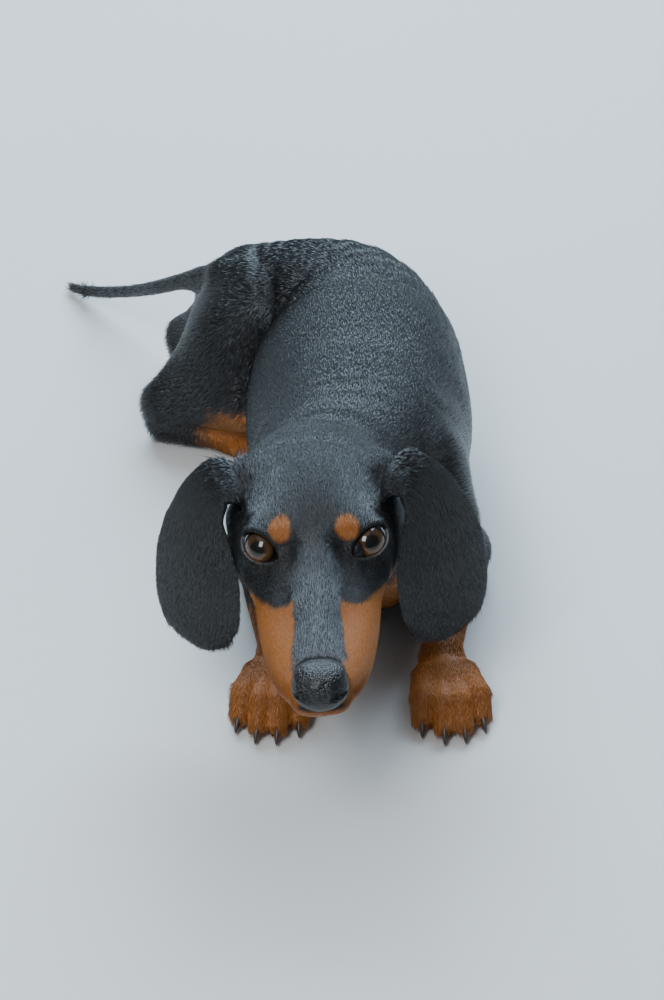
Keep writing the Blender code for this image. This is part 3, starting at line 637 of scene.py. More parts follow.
def skin_edge(p):
    """The longest edge that the skin's mesh may have at a place."""
    q = to_head(p)
    longest = np.full(len(p), 4.2)
    longest[(p[:, 2] < 30) & (p[:, 1] < 30)] = 2.1
    for side in (LEFT, RIGHT):
        root, ahead, _ = paw_frame(side, True)
        longest[np.linalg.norm(p - (root + ahead * 20), axis=1) < 34] = 2.1
    longest[(q[:, 0] > -62) & (q[:, 2] > -60)] = 2.1
    longest[(q[:, 0] > -16) & (q[:, 2] > -48) & (np.abs(q[:, 1]) < 40)] = 1.25
    longest[round_mouth(q, 7) & (from_mouth(q) < 2.2)] = 0.6
    for side in (LEFT, RIGHT):
        longest[np.linalg.norm(q - eye_spot(side) - (5, 0, 4), axis=1) < 16] = 0.8
        longest[np.linalg.norm(q - (-38, side * 32, 4), axis=1) < 22] = 1.4
    return longest


skin_points, skin_faces = surface(skin_field, (-140, -96, -4), (100, 384, 160), 3.0)
skin_points, skin_faces = thinned(skin_points, skin_faces, 0.5)
skin_points = settle(skin_points, skin_faces, skin_field, 3, 1.5)
for allowed in (2.0, 1.0):
    skin_points, skin_faces = split_long(skin_points, skin_faces, lambda p: skin_edge(p) * allowed)
    skin_points = settle(skin_points, skin_faces, skin_field, 2, 0.8)
skin_points = settle(skin_points, skin_faces, skin_field, 1, 0.4)


# Ears. Each is a long, thin, rounded leaf of skin and cartilage that grows from the side of the skull,
# stands out at its fold and hangs past the cheek. It is a closed leaf whose root is sunk in the head, then
# fused with the skin, and the line where they meet is smoothed away.
EAR_COLUMNS, EAR_ROWS = 44, 70


def ear_path(rows):
    """Centre, half width, half thickness and bearing of the ear from its root in the skull to its tip."""
    thick = EAR_HALF_THICKNESS
    return smooth_path([
        (24, 33, 121, 12, thick + 1.6, 2),
        (33, 32, 131, 15, thick + 1.6, 6),
        (42, 31, 133, 17, thick + 1.2, 14),
        (50, 27.6, 124, 19, thick + 0.7, 28),
        (53.0, 23.8, 111, EAR_HALF_WIDTH * 1.00, thick + 0.2, 38),
        (54.4, 20.7, 96.5, EAR_HALF_WIDTH * 1.12, thick, 43),
        (55.9, 19.5, 81, EAR_HALF_WIDTH * 1.07, thick, 46.5),
        (57, 18.8, 67, EAR_HALF_WIDTH * 0.93, thick, 49),
        (56.2, 17.8, 57, EAR_HALF_WIDTH * 0.70, thick, 50),
        (55.2, 17.3, 50.5, EAR_HALF_WIDTH * 0.26, thick * 0.7, 50),
    ], rows)


def from_level(p):
    """Rolls points about the head's middle, as the head is rolled."""
    roll = math.radians(HEAD_ROLL)
    turn = np.array([[math.cos(roll), 0, math.sin(roll)], [0, 1, 0], [-math.sin(roll), 0, math.cos(roll)]])
    return (p - HEAD_SPOT) @ turn + HEAD_SPOT


def tube_faces(rows, columns):
    """Triangles over rings of points, closed at each end by one of the two points that follow the rings."""
    here, after = np.arange(columns), (np.arange(columns) + 1) % columns
    faces = []
    for row in range(rows - 1):
        a, b = row * columns + here, row * columns + after
        faces += [np.stack([a, a + columns, b + columns], 1), np.stack([a, b + columns, b], 1)]
    start, end = (rows - 1) * columns, np.full(columns, rows * columns)
    faces += [np.stack([here, after, end], 1), np.stack([start + after, start + here, end + 1], 1)]
    return np.concatenate(faces)


def ear_leaf(side):
    """The leaf's rings, its triangles, and the centre line with the way to the tip."""
    path = ear_path(EAR_ROWS)
    centres, half_width, half_thick, bearing = path[:, :3], path[:, 3], path[:, 4], np.radians(path[:, 5])
    tangent = unit_rows(np.gradient(centres, axis=0))
    back = np.stack([np.sin(bearing), np.cos(bearing), 0 * bearing], 1)
    back = unit_rows(back - tangent * (back * tangent).sum(1)[:, None])
    outward = np.cross(tangent, back)
    turn = 2 * math.pi * np.arange(EAR_COLUMNS) / EAR_COLUMNS
    across, through = np.cos(turn), np.sin(turn)
    through = np.sign(through) * np.abs(through) ** 0.7
    rings = centres[:, None] + (half_width[:, None] * across)[..., None] * back[:, None]
    share = np.linspace(0, 1, EAR_ROWS)[:, None]
    wave = 1.1 * np.sin(share * 9 + 0.6) * across * np.clip(share * 2 - 0.5, 0, 1)
    bent = half_thick[:, None] * through - EAR_BEND * half_width[:, None] * (across**2 - 0.5) + wave
    rings = rings + bent[..., None] * outward[:, None]
    rings[..., 0] *= side
    points = from_level(rings.reshape(-1, 3))
    ends = np.stack([points[:EAR_COLUMNS].mean(0), points[-EAR_COLUMNS:].mean(0)])
    line, way, spread = (rows * (side, 1, 1) for rows in (centres, tangent, back))
    return np.concatenate([points, ends]), tube_faces(EAR_ROWS, EAR_COLUMNS), from_level(line), way, spread


def outward_faces(obj):
    mesh = bmesh.new()
    mesh.from_mesh(obj.data)
    bmesh.ops.recalc_face_normals(mesh, faces=mesh.faces)
    mesh.to_mesh(obj.data)
    mesh.free()


skin_parts = [bpy.data.materials.new(name) for name in ("skin_of_body", "skin_of_ear")]
skin = new_object("skin", skin_points, skin_faces, skin_parts[0])
skin.data.materials.append(skin_parts[1])
EARS = {}
for side in SIDES.values():
    leaf_points, leaf_faces, line, way, spread = ear_leaf(side)
    EARS[side] = (line, way, spread)
    leaf = new_object("ear_leaf", leaf_points, leaf_faces, skin_parts[0])
    leaf.data.materials.append(skin_parts[1])
    leaf.data.polygons.foreach_set("material_index", np.ones(len(leaf_faces), np.int32))
    outward_faces(leaf)
    modifier = skin.modifiers.new("fuse", "BOOLEAN")
    modifier.object = leaf
    modifier.operation = "UNION"
    modifier.solver = "MANIFOLD"
    shown_mesh(skin)
    bpy.data.objects.remove(leaf)
skin_points, skin_faces = mesh_arrays(skin.data)
face_slot = np.empty(len(skin.data.polygons), np.int32)
skin.data.polygons.foreach_get("material_index", face_slot)
triangle_face = np.empty(len(skin.data.loop_triangles), np.int32)
skin.data.loop_triangles.foreach_get("polygon_index", triangle_face)
of_ear = face_slot[triangle_face] == 1
bpy.data.objects.remove(skin)
edges, _ = edge_list(skin_faces)
ear_share = np.bincount(skin_faces.ravel(), np.repeat(of_ear, 3), len(skin_points))
ear_share /= np.bincount(skin_faces.ravel(), minlength=len(skin_points))
seam = ((ear_share > 0) & (ear_share < 1)).astype(float)
for _ in range(9):
    seam = np.maximum(seam, neighbour_mean(seam[:, None], edges)[:, 0] * 1.35).clip(0, 1)
near_ears = np.linalg.norm((to_head(skin_points) - (-38, 0, 4)) * (1, 0, 1), axis=1) < 40
seam *= near_ears
for _ in range(14):
    skin_points = skin_points + (neighbour_mean(skin_points, edges) - skin_points) * (0.6 * seam)[:, None]


# Markings. Black over all, with rich tan over each eye, on the sides of the muzzle and the lower jaw, on
# the throat, in two patches on the front of the chest, on the lower legs and feet and under the root of the
# tail. Skin and coat read the same function.
BLACK = np.array([0.0070, 0.0074, 0.0088])
TAN = np.array([0.440, 0.143, 0.012])
DEEP_TAN = np.array([0.240, 0.060, 0.006])
# The grey of the grey hairs on the head. On the forehead, temples and brows it is a painted sheen. On the
# bridge of the muzzle it is partly real grey hair and partly painted sheen.
GREY_HAIR_AND_SHEEN = np.array([0.105, 0.118, 0.130])


def soft(value, edge, width):
    """0 below the edge, 1 above it, over that width."""
    t = np.clip((value - edge) / width + 0.5, 0, 1)
    return t * t * (3 - 2 * t)


def waves(p, scale, seed):
    """A smooth uneven value between about -1 and 1."""
    rng = np.random.default_rng(seed)
    total = 0
    for octave in range(3):
        for _ in range(3):
            way = rng.normal(size=3)
            way *= (1.7**octave) / (scale * np.linalg.norm(way))
            total = total + np.sin(p @ way * 2 * math.pi + rng.uniform(0, 6.3)) * 0.6**octave
    return total / 3.2


def tan_share(p, on_ear):
    """Where the coat is tan, from 0 to 1. The ears are black."""
    q = to_head(p)
    x, y, z = q.T
    y_out = np.abs(y)
    uneven = waves(p, 9, 3)
    tan = np.zeros(len(p))
    for spot in ((2.9, -14.5, 13.2), (3.3, 14.6, 12.6)):
        from_spot = np.linalg.norm((q - spot) / (1.0, 1.0, 1.25), axis=1)
        tan = np.maximum(tan, 1 - soft(from_spot + uneven * 0.5, 5.1, 1.6))
    inner = np.interp(x, (18, 31, 50, 64, 76), (11.0, 9.8, 10.6, 12.2, 13.5))
    side_of_muzzle = soft(y_out + uneven * 0.5, inner, 1.6) * soft(
        x + uneven * 0.8 - (z + 4) * 0.35, 30.5 + 1.9 * np.exp(-(((y_out - 15) / 4) ** 2)), 2.2)
    under_eye = soft(-z + uneven * 0.8, np.interp(x, (-30, -8, 12, 20, 30), (27, 21, 15.5, 11.0, 6.0)), 2.5)
    under_eye *= soft(x, -22, 8) * soft(y_out, 9.0, 2.0)
    under_nose = soft(-z, 16.5, 2) * soft(x, 50, 6)
    jaw_and_throat = soft(-z, 27.5 + np.clip(-x, 0, 60) * 0.26, 3) * soft(x, -52, 12)
    jaw_and_throat *= 1 - soft(y_out, np.interp(x, (-60, -20, 8), (16, 20, 31)), 4)
    on_head = (p[:, 1] < 62) & (p[:, 2] > 40)
    on_face = np.max([side_of_muzzle, under_eye, under_nose, jaw_and_throat], axis=0)
    tan = np.maximum(tan, on_face * on_head)
    for side in (LEFT, RIGHT):
        patch = np.linalg.norm((p - (BODY_OFFSET - 2 + side * 21, 62, 46)) / (15, 26, 16), axis=1)
        tan = np.maximum(tan, (1 - soft(patch + uneven * 0.08, 1, 0.16)))
        for hind in (False, True):
            root, ahead, _ = paw_frame(side, hind)
            along = (p - root) @ ahead
            off = np.linalg.norm((p - root)[:, :2] - np.outer(along, ahead[:2]), axis=1)
            near, start = (off < 30, -16) if hind else (off < 26, -40)
            limb = soft(along + uneven * 4 - p[:, 2] * 0.5, start, 9) * near * (p[:, 2] < 40) * (along < 70)
            tan = np.maximum(tan, limb)
    root_of_tail = np.linalg.norm((p - (-44, 262, 66)) / (12, 14, 14), axis=1)
    return np.maximum(tan, (1 - soft(root_of_tail, 1, 0.3)) * (p[:, 2] < 74)) * ~on_ear


def grey_hair_and_sheen_share(p):
    """Where grey hairs are mixed in. On the forehead, the temples and the brows they are a painted sheen that
    follows the sky's light on the skull. On the bridge of the muzzle they are partly real grey hair and partly
    painted sheen.
    """
    q = to_head(p)
    x, y, z = q.T
    half = np.interp(x, (10, 19, 30, 66), (8, 12, 10, 12))
    bridge = soft(x, 8, 16) * (1 - soft(np.abs(y), half, 3)) * (z > -9)
    crown = np.exp(-(((x + 40) / 13) ** 2)) * (1 - soft(np.abs(y), 24, 8)) * (z > 8)
    temples = np.exp(-(((x + 15) / 15) ** 2) - ((np.abs(y) - 16.5) / 6.5) ** 2) * (z > 6)
    brow = np.exp(-(((x + 3) / 6) ** 2) - ((np.abs(y) - 24) / 6) ** 2) * (z > 3)
    return np.clip(bridge + 0.4 * crown + 0.55 * temples + 0.45 * brow, 0, 1) * (p[:, 1] < 50)


def coat_colour(p, on_ear, rng):
    """The colour of the hair at each point, each a little different from the next."""
    count = len(p)
    tan = tan_share(p, on_ear)
    tan = np.where(rng.random(count) < tan, 1.0, 0.0) * 0.35 + tan * 0.65
    x, y, z = to_head(p).T
    saddle = np.exp(-(((x - 38) / 13) ** 2) - ((np.abs(y) - 14) / 5) ** 2) * (z > -14) * (p[:, 1] < 40)
    patches = 0.25 * (waves(p, 22, 5) * 0.5 + 0.5)
    mix = np.clip(rng.random(count) * 0.6 + patches + 0.5 * saddle - 0.1, 0, 1)[:, None]
    warm = TAN * (1 - mix) + (TAN * 0.62 + DEEP_TAN * 0.38) * mix
    dark = BLACK * (0.65 + 0.8 * rng.random(count)[:, None])
    # Grey hairs are painted where the sky's sheen falls on the forehead, temples and brows, and they are
    # brightest on the bridge. There they are partly real grey hair and partly painted sheen.
    share = grey_hair_and_sheen_share(p)
    grey_hairs_and_sheen = (rng.random(count) < share * 0.62) & ~on_ear
    lighter = 0.3 + (0.8 + 1.1 * soft(x, 22, 16)) * rng.random(count)
    dark[grey_hairs_and_sheen] = (GREY_HAIR_AND_SHEEN * lighter[:, None])[grey_hairs_and_sheen]
    near_nose = (soft(x, 60, 9) * share)[:, None]
    dark = dark * (1 - near_nose * (0.2, 0.38, 0.36))
    return dark * (1 - tan[:, None]) + warm * (1 - 0.12 * rng.random(count)[:, None]) * tan[:, None]


def colour_attribute(mesh, name, colours):
    attribute = mesh.attributes.new(name, "FLOAT_COLOR", "POINT")
    whole = np.concatenate([colours, np.ones((len(colours), 1))], 1)
    attribute.data.foreach_set("color", whole.astype(np.float32).ravel())


def set_inputs(node, values):
    """Gives each input its value, or links it to the output that feeds it."""
    for socket, value in values.items():
        if isinstance(value, bpy.types.NodeSocket):
            node.id_data.links.new(value, node.inputs[socket])
        else:
            node.inputs[socket].default_value = value


def add_node(material, kind, values=None, **settings):
    """Adds a node to a material's tree and gives its outputs."""
    node = material.node_tree.nodes.new("ShaderNode" + kind)
    for setting, value in settings.items():
        setattr(node, setting, value)
    set_inputs(node, values or {})
    return node.outputs


def multiplied(material, colour, other, share):
    values = {0: share, 6: colour, 7: other}
    return add_node(material, "Mix", values, data_type="RGBA", blend_type="MULTIPLY")[2]


def new_material(name):
    material = bpy.data.materials.new(name)
    material.use_nodes = True
    return material


def with_shader(material, values):
    """The material, with the values and links of its shader set."""
    set_inputs(material.node_tree.nodes["Principled BSDF"], values)
    return material


def skin_material():
    material = new_material("skin_under_the_coat")
    place = add_node(material, "TexCoord")["Object"]
    hairs = add_node(material, "TexNoise", {"Vector": place, "Scale": 900, "Detail": 4})
    depth = add_node(material, "Bump", {"Height": hairs["Fac"], "Strength": 0.5, "Distance": 0.0004})
    markings_and_painted_light = add_node(material, "Attribute", attribute_name="markings_and_painted_light")["Color"]
    return with_shader(material, {
        "Base Color": multiplied(material, markings_and_painted_light, hairs["Color"], 0.6),
        "Normal": depth["Normal"],
        "Roughness": 0.5,
        "Specular IOR Level": 0.25,
    })


# The nose tells where the dog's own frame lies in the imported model
nose_low, nose_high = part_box("nose")
nose_points, nose_faces = surface(lambda p: nose_pad(to_head(p)), (-20, -92, 82), (20, -50, 124), 0.6)
nose_points = settle(nose_points, nose_faces, lambda p: nose_pad(to_head(p)), 3, 0.3)
nose_middle = (nose_points.max(0) + nose_points.min(0)) / 2
PLACE = (np.array(nose_low) + np.array(nose_high)) / 2 / MM - nose_middle
PLACE[2] = 0


def placed(name, points, triangles, material, smooth=True):
    """A piece of the dog, moved from the dog's own frame to the model's."""
    obj = new_object(name, points + PLACE, triangles, material)
    if smooth:
        obj.data.shade_smooth()
    return obj


rng = np.random.default_rng(11)
skin = placed("skin", skin_points, skin_faces, skin_material())
under = tan_share(skin_points, ear_share > 0.5)[:, None]
under_coat = BLACK * 0.8 * (1 - under) + (TAN * 0.5 + DEEP_TAN * 0.5) * under
LID_SKIN = np.array([0.010, 0.009, 0.010])
# The pale colour below is a painted glint of light on the wet rim of the lower lid.
LID_GLINT = np.array([0.16, 0.14, 0.14])
in_head = to_head(skin_points)
on_lips = round_mouth(in_head, 9) & (skin_points[:, 1] < 0)
lips = ((1 - soft(from_mouth(in_head), 1.3, 0.9)) * on_lips)[:, None]
under_coat = under_coat * (1 - lips) + LID_SKIN * lips
for side in (LEFT, RIGHT):
    reach = np.linalg.norm(in_head - eye_spot(side), axis=1) < 17
    from_lid = np.where(reach, lid_opening(in_head, side), 99.0)
    below = ((in_head - eye_spot(side)) @ eye_axes(side)[2] < -0.5)
    bare = (1 - soft(from_lid, 1.5, 0.8))[:, None]
    # A painted glint: a pale band along the wet rim of the lower lid, below the eye's middle.
    painted_lid_glint = (np.exp(-(((from_lid - 0.75) / 0.45) ** 2)) * below)[:, None]
    under_coat = under_coat * (1 - bare) + LID_SKIN * bare
    under_coat = under_coat * (1 - painted_lid_glint) + LID_GLINT * painted_lid_glint
colour_attribute(skin.data, "markings_and_painted_light", under_coat)
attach(skin, "root")
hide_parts("head", "lower_jaw", "neck", "chest", "loin", "rump", "tail_base", "tail_tip",
            "ear_left", "ear_right", "foreleg_left", "foreleg_right", "forepaw_left", "forepaw_right",
            "hindleg_left", "hindleg_right", "hindpaw_left", "hindpaw_right")


# Eyes. A wet ball in each socket, with a domed clear front over a warm brown iris and a dark pupil.
IRIS_COLOURS = (
    (0.0, (0.0015, 0.0014, 0.0012)),
    (0.27, (0.0015, 0.0014, 0.0012)),
    (0.33, (0.022, 0.010, 0.0035)),
    (0.44, (0.075, 0.033, 0.009)),
    (0.62, (0.060, 0.026, 0.007)),
    (0.71, (0.004, 0.003, 0.002)),
    (0.78, (0.006, 0.005, 0.004)),
    (1.0, (0.02, 0.015, 0.013)),
)


def gaze(side):
    """The way each eye looks: out through the middle of its lids."""
    return unit(unit([0.68, side * 0.32, 0.65]) @ HEAD_AXES)


def add_ramp(material, source, stops):
    """The colours that a value gives on a ramp. A stop is a place and a colour."""
    node = material.node_tree.nodes.new("ShaderNodeValToRGB")
    elements = node.color_ramp.elements
    for element, (place, colour) in zip(list(elements), (stops[0], stops[-1])):
        element.position = place
        element.color = (*colour, 1)
    for place, colour in stops[1:-1]:
        elements.new(place).color = (*colour, 1)
    set_inputs(node, {"Fac": source})
    return node.outputs["Color"]


def stretched(material, value, low, high, to_low, to_high):
    values = {"Value": value, "From Min": low, "From Max": high, "To Min": to_low, "To Max": to_high}
    return add_node(material, "MapRange", values)["Result"]


def eye_material():
    """Brown fibres round the pupil, darker at the iris's edge, with painted shade under the upper lid and
    painted light towards the bottom of the iris.
    """
    material = new_material("wet_eye")
    away = add_node(material, "Attribute", attribute_name="from_pupil")["Fac"]
    height = add_node(material, "Attribute", attribute_name="iris_height")["Fac"]
    fibres = add_node(material, "Attribute", attribute_name="round_iris")["Vector"]
    strands = add_node(material, "TexNoise", {"Vector": fibres, "Scale": 7, "Detail": 5})["Fac"]
    contrast = stretched(material, strands, 0.3, 0.7, 0.55, 1.6)
    # Painted shade: the iris is darkened towards the top, where the upper lid shades it, and lightened towards
    # the bottom.
    painted_light_and_shade = stretched(material, height, -0.45, 0.55, 1.25, 0.45)
    both = add_node(material, "Math", {0: contrast, 1: painted_light_and_shade}, operation="MULTIPLY")["Value"]
    return with_shader(material, {
        "Base Color": multiplied(material, add_ramp(material, away, IRIS_COLOURS), both, 1.0),
        "Roughness": 0.5,
        "Specular IOR Level": 0.1,
        "Coat Weight": 1.0,
        "Coat Roughness": 0.02,
    })


def eyeball(side, rings=72, segments=96):
    """Points and triangles of the ball and its clear dome, with each point's distance from the pupil's middle,
    its height in the iris and its place round it."""
    centre, look = from_head(eye_spot(side))[0], gaze(side)
    across = unit(np.cross(look, (0, 0, 1.0)))
    over = np.cross(across, look)
    angle = np.linspace(0, math.pi, rings)[1:-1]
    radius = EYE_RADIUS - 0.15 + 0.55 * np.clip(np.cos(angle * 1.9), 0, 1) ** 1.2 * (angle < 0.83)
    turn = 2 * math.pi * np.arange(segments) / segments
    ring = np.cos(turn)[None, :, None] * across + np.sin(turn)[None, :, None] * over
    points = np.sin(angle)[:, None, None] * ring + np.cos(angle)[:, None, None] * look
    points = (radius[:, None, None] * points).reshape(-1, 3)
    ends = np.stack([look * (EYE_RADIUS + 0.4), -look * EYE_RADIUS])
    away = np.append(np.repeat(np.sin(np.minimum(angle, math.pi / 2)), segments), [0, 1])
    height = np.append((np.sin(angle)[:, None] * np.sin(turn)).ravel(), [0, 0])
    circle = np.tile(np.stack([np.cos(turn), np.sin(turn)], 1) * 3, (len(angle), 1))
    round_iris = np.concatenate([circle, np.repeat(angle, segments)[:, None]], 1)
    round_iris = np.concatenate([round_iris, [(0, 0, 0), (0, 0, math.pi)]])
    return np.concatenate([points, ends]) + centre, tube_faces(len(angle), segments), away, height, round_iris


wet_eye = eye_material()
for name, side in SIDES.items():
    points, faces, away, height, round_iris = eyeball(side)
    eye = placed(name + "_eyeball", points, faces, wet_eye)
    outward_faces(eye)
    for word, kind, field, values in (("from_pupil", "FLOAT", "value", away),
                                      ("iris_height", "FLOAT", "value", height),
                                      ("round_iris", "FLOAT_VECTOR", "vector", round_iris)):
        attribute = eye.data.attributes.new(word, kind, "POINT")
        attribute.data.foreach_set(field, values.astype(np.float32).ravel())
    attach(eye, "root")
    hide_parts("eye_" + name)


# Nose. Bare, moist black skin in fine cobbles, cleft below, with a comma-shaped nostril each side. It is
# set in the end of the muzzle.


# The nose is painted a little lighter on the tops of its cobbles and darker in the grooves between them, a
# painted shade.
NOSE_TOPS_AND_GROOVE_SHADE = ((0.0, (0.014, 0.0145, 0.016)), (0.7, (0.004, 0.004, 0.0045)))


def nose_material():
    material = new_material("moist_nose")
    place = add_node(material, "TexCoord")["Object"]
    cobbles = add_node(material, "TexVoronoi", {"Vector": place, "Scale": 1150})["Distance"]
    depth = add_node(material, "Bump", {"Height": cobbles, "Strength": 0.75, "Distance": 0.0005}, invert=True)
    return with_shader(material, {
        "Base Color": add_ramp(material, cobbles, NOSE_TOPS_AND_GROOVE_SHADE),
        "Normal": depth["Normal"],
        "Roughness": 0.33,
        "Specular IOR Level": 0.42,
        "Coat Weight": 0.12,
        "Coat Roughness": 0.15,
    })


nose = placed("nose_leather", nose_points, nose_faces, nose_material())
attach(nose, "root")
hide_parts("nose")


# Claws. Four short curved cones of dark horn on each foot, each growing from the end of its toe.


CLAW_LENGTH = 8.4
CLAW_HALF_WIDTH = 2.6


def clouded_material(name, scale, detail, colours, roughness):
    """A material whose colour drifts between two shades."""
    material = new_material(name)
    place = add_node(material, "TexCoord")["Object"]
    grain = add_node(material, "TexNoise", {"Vector": place, "Scale": scale, "Detail": detail})["Fac"]
    tint = add_ramp(material, grain, ((0.0, colours[0]), (1.0, colours[1])))
    return with_shader(material, {"Base Color": tint, "Roughness": roughness})


def claw(side, hind, toe, corners=14, rings=9):
    scale = HIND_SCALE if hind else 1.0
    _, _, tip, aim = toe_points(side, hind, toe)
    tip = tip + (0, 0, 1.2)
    across = unit(np.cross(aim, (0, 0, 1.0)))
    upward = np.cross(across, aim)
    length, width, start = CLAW_LENGTH * scale, CLAW_HALF_WIDTH * scale, TOE_RADIUS * 0.4 * scale
    turn = 2 * math.pi * np.arange(corners) / corners
    points = []
    for ring in range(rings):
        share = ring / rings
        middle = tip + aim * (start + share * length) - upward * (share**2 * 2.2)
        size = width * (1 - share**1.5 * 0.75)
        oval = np.outer(np.cos(turn) * 0.72, across) + np.outer(np.sin(turn), upward)
        points.append(middle + size * oval)
    ends = [tip + aim * start, tip + aim * (start + length) - upward * 2.5]
    return np.concatenate(points + [ends]), tube_faces(rings, corners)


HORN_COLOURS = ((0.018, 0.014, 0.012), (0.075, 0.055, 0.042))
horn = clouded_material("dark_horn", 600, 3, HORN_COLOURS, 0.35)
points, faces, total = [], [], 0
for side in (LEFT, RIGHT):
    for hind in (False, True):
        for toe in range(len(TOE_SPREAD)):
            claw_points, claw_faces = claw(side, hind, toe)
            faces.append(claw_faces + total)
            points.append(claw_points)
            total += len(claw_points)
claws = placed("claws", np.concatenate(points), np.concatenate(faces), horn)
outward_faces(claws)
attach(claws, "root")


# Coat. Short, dense, shining hair that lies flat along the body, from the nose back to the tail and down
# the legs and ears. Each tuft is a small closed wedge with its root in the skin, a low ridge and a fine
# tip. It is shortest on the face and feet.
TUFT_LIMIT = 365000
PIECE_TUFTS = 48000
COVER = 2.2
TRUNK_TUFT = (7.2, 0.52)
EAR_TUFT = (4.6, 0.42)
WISP = (8.5, 0.3, 0.32)
SPLAY = 0.11
ROOT_DEPTH = 0.12
TAIL_LINE = smooth_path(TAIL_STATIONS)[:, :3]


def on_the_head(p):
    return (p[:, 1] < 64) & (p[:, 2] > 62)


def guide_lines():
    """Lines along which the hair lies, each with the reach of its influence."""
    x = BODY_OFFSET

    def on_head(*rows):
        return list(from_head(np.array(rows, float)))

    face = on_head((80, 0, -6), (60, 0, 1), (30, 0, 4), (8, 0, 9), (-14, 0, 20), (-40, 0, 21))
    spine = [(6, 70, 130), (15, 100, 119), (x, 150, 117), (x, 205, 114), (12, 245, 108), (-14, 262, 104),
             (-34, 262, 92)]
    throat = on_head((66, 0, -33), (20, 0, -42))
    belly = [(0, 40, 64), (10, 62, 36), (x, 90, 12), (x, 220, 4), (0, 260, 12)]
    lines = [(face + spine + list(TAIL_LINE[4:]), 16), (list(TAIL_LINE), 7), (throat + belly, 14)]
    for side in (LEFT, RIGHT):
        cheek = on_head((74, side * 8, -14), (50, side * 18, -16), (26, side * 24, -15), (4, side * 32, -14),
                        (-24, side * 40, -10), (-48, side * 36, -14))
        flank = [(8 + side * 30, 72, 92), (x + side * 44, 110, 84), (x + side * 55, 160, 62),
                 (x + side * 53, 210, 56)]
        jowl = on_head((70, side * 6, -26), (44, side * 15, -27), (14, side * 22, -32), (-16, side * 28, -40))
        breast = [(4 + side * 26, 52, 70), (x + side * 30, 80, 44)]
        shoulder = [(x + side * 46, 92, 66), (x + side * 50, 102, 46), elbow(side) + (0, 4, 2)]
        arm = [elbow(side) + (0, -4, 0), wrist(side), toe_points(side, False, 1 if side > 0 else 2)[2]]
        thigh = [pelvis_point(2, side * 30, 84), pelvis_point(-8, side * 40, 52),
                 pelvis_point(-30, side * 36, 26), hock(side)]
        foot = [hock(side) + (0, 0, -4), hind_wrist(side), toe_points(side, True, 1)[2]]
        lines += [(cheek + flank, 14), (jowl + breast, 12), (shoulder, 9), (arm, 9), (thigh, 13), (foot, 8)]
    return lines


def along_skin(way, normal):
    """Directions laid flat on the skin."""
    return unit_rows(way - normal * (way * normal).sum(1)[:, None])


def lie_of_coat(p, normal):
    """The direction in which the hair lies on the skin."""
    total = np.zeros_like(p)
    for line, reach in guide_lines():
        line = np.array(line, float)
        start, along = line[:-1], np.diff(line, axis=0)
        length = np.linalg.norm(along, axis=1)
        share = np.clip(((p @ along.T) - (start * along).sum(1)) / length**2, 0, 1)
        gap = np.sqrt(sum((p[:, i, None] - start[:, i] - share * along[:, i]) ** 2 for i in range(3)))
        weight = 1 / (gap / reach + 0.5) ** 3.6
        total += weight @ (along / length[:, None])
    for side in (LEFT, RIGHT):
        q = to_head(p) - eye_spot(side)
        gap = np.linalg.norm(q, axis=1)
        share = np.exp(-((gap / 15) ** 2)) * 0.9 * np.linalg.norm(total, axis=1)
        total += share[:, None] * (unit_rows(q * (0.2, 1, 1)) @ HEAD_AXES)
    return along_skin(total, normal)


def ear_lie(p, normal, side):
    """On an ear the hair runs down from the root, and outwards at the edges."""
    line, way, spread = EARS[side]
    gap = np.linalg.norm(p[:, None] - line[None], axis=2)
    best = gap.argmin(1)
    off = ((p - line[best]) * spread[best]).sum(1) / EAR_HALF_WIDTH
    total = way[best] + spread[best] * (off * 0.22)[:, None]
    return along_skin(total, normal), best / EAR_ROWS, np.abs(off)


def region_sizes(p, on_ear):
    """Length, width and rise of the tufts at each point."""
    q = to_head(p)
    on_head = on_the_head(p)
    length, width = (np.full(len(p), size) for size in TRUNK_TUFT)
    places = (-64, -36, -8, 16, 50, 76)
    length[on_head] = np.interp(q[on_head, 0], places, (6.4, 4.4, 3.2, 2.6, 2.2, 1.7))
    width[on_head] = np.interp(q[on_head, 0], places, (0.46, 0.34, 0.27, 0.25, 0.24, 0.22))
    for side in (LEFT, RIGHT):
        close = np.exp(-((np.linalg.norm(q - eye_spot(side), axis=1) / 13) ** 2))
        length *= 1 - 0.38 * close * on_head
    low = np.clip((34 - p[:, 2]) / 22, 0, 1)
    for side in (LEFT, RIGHT):
        for hind in (False, True):
            root, ahead, _ = paw_frame(side, hind)
            foot = np.exp(-((np.linalg.norm(p - root - ahead * 22, axis=1) / 34) ** 2)) * (p[:, 2] < 36)
            length = length * (1 - 0.55 * foot)
            width = width * (1 - 0.30 * foot)
    length[on_ear], width[on_ear] = EAR_TUFT
    rise = np.where(on_head, 0.11, 0.085) + 0.03 * low
    rise[on_ear] = 0.07
    return length, width, rise


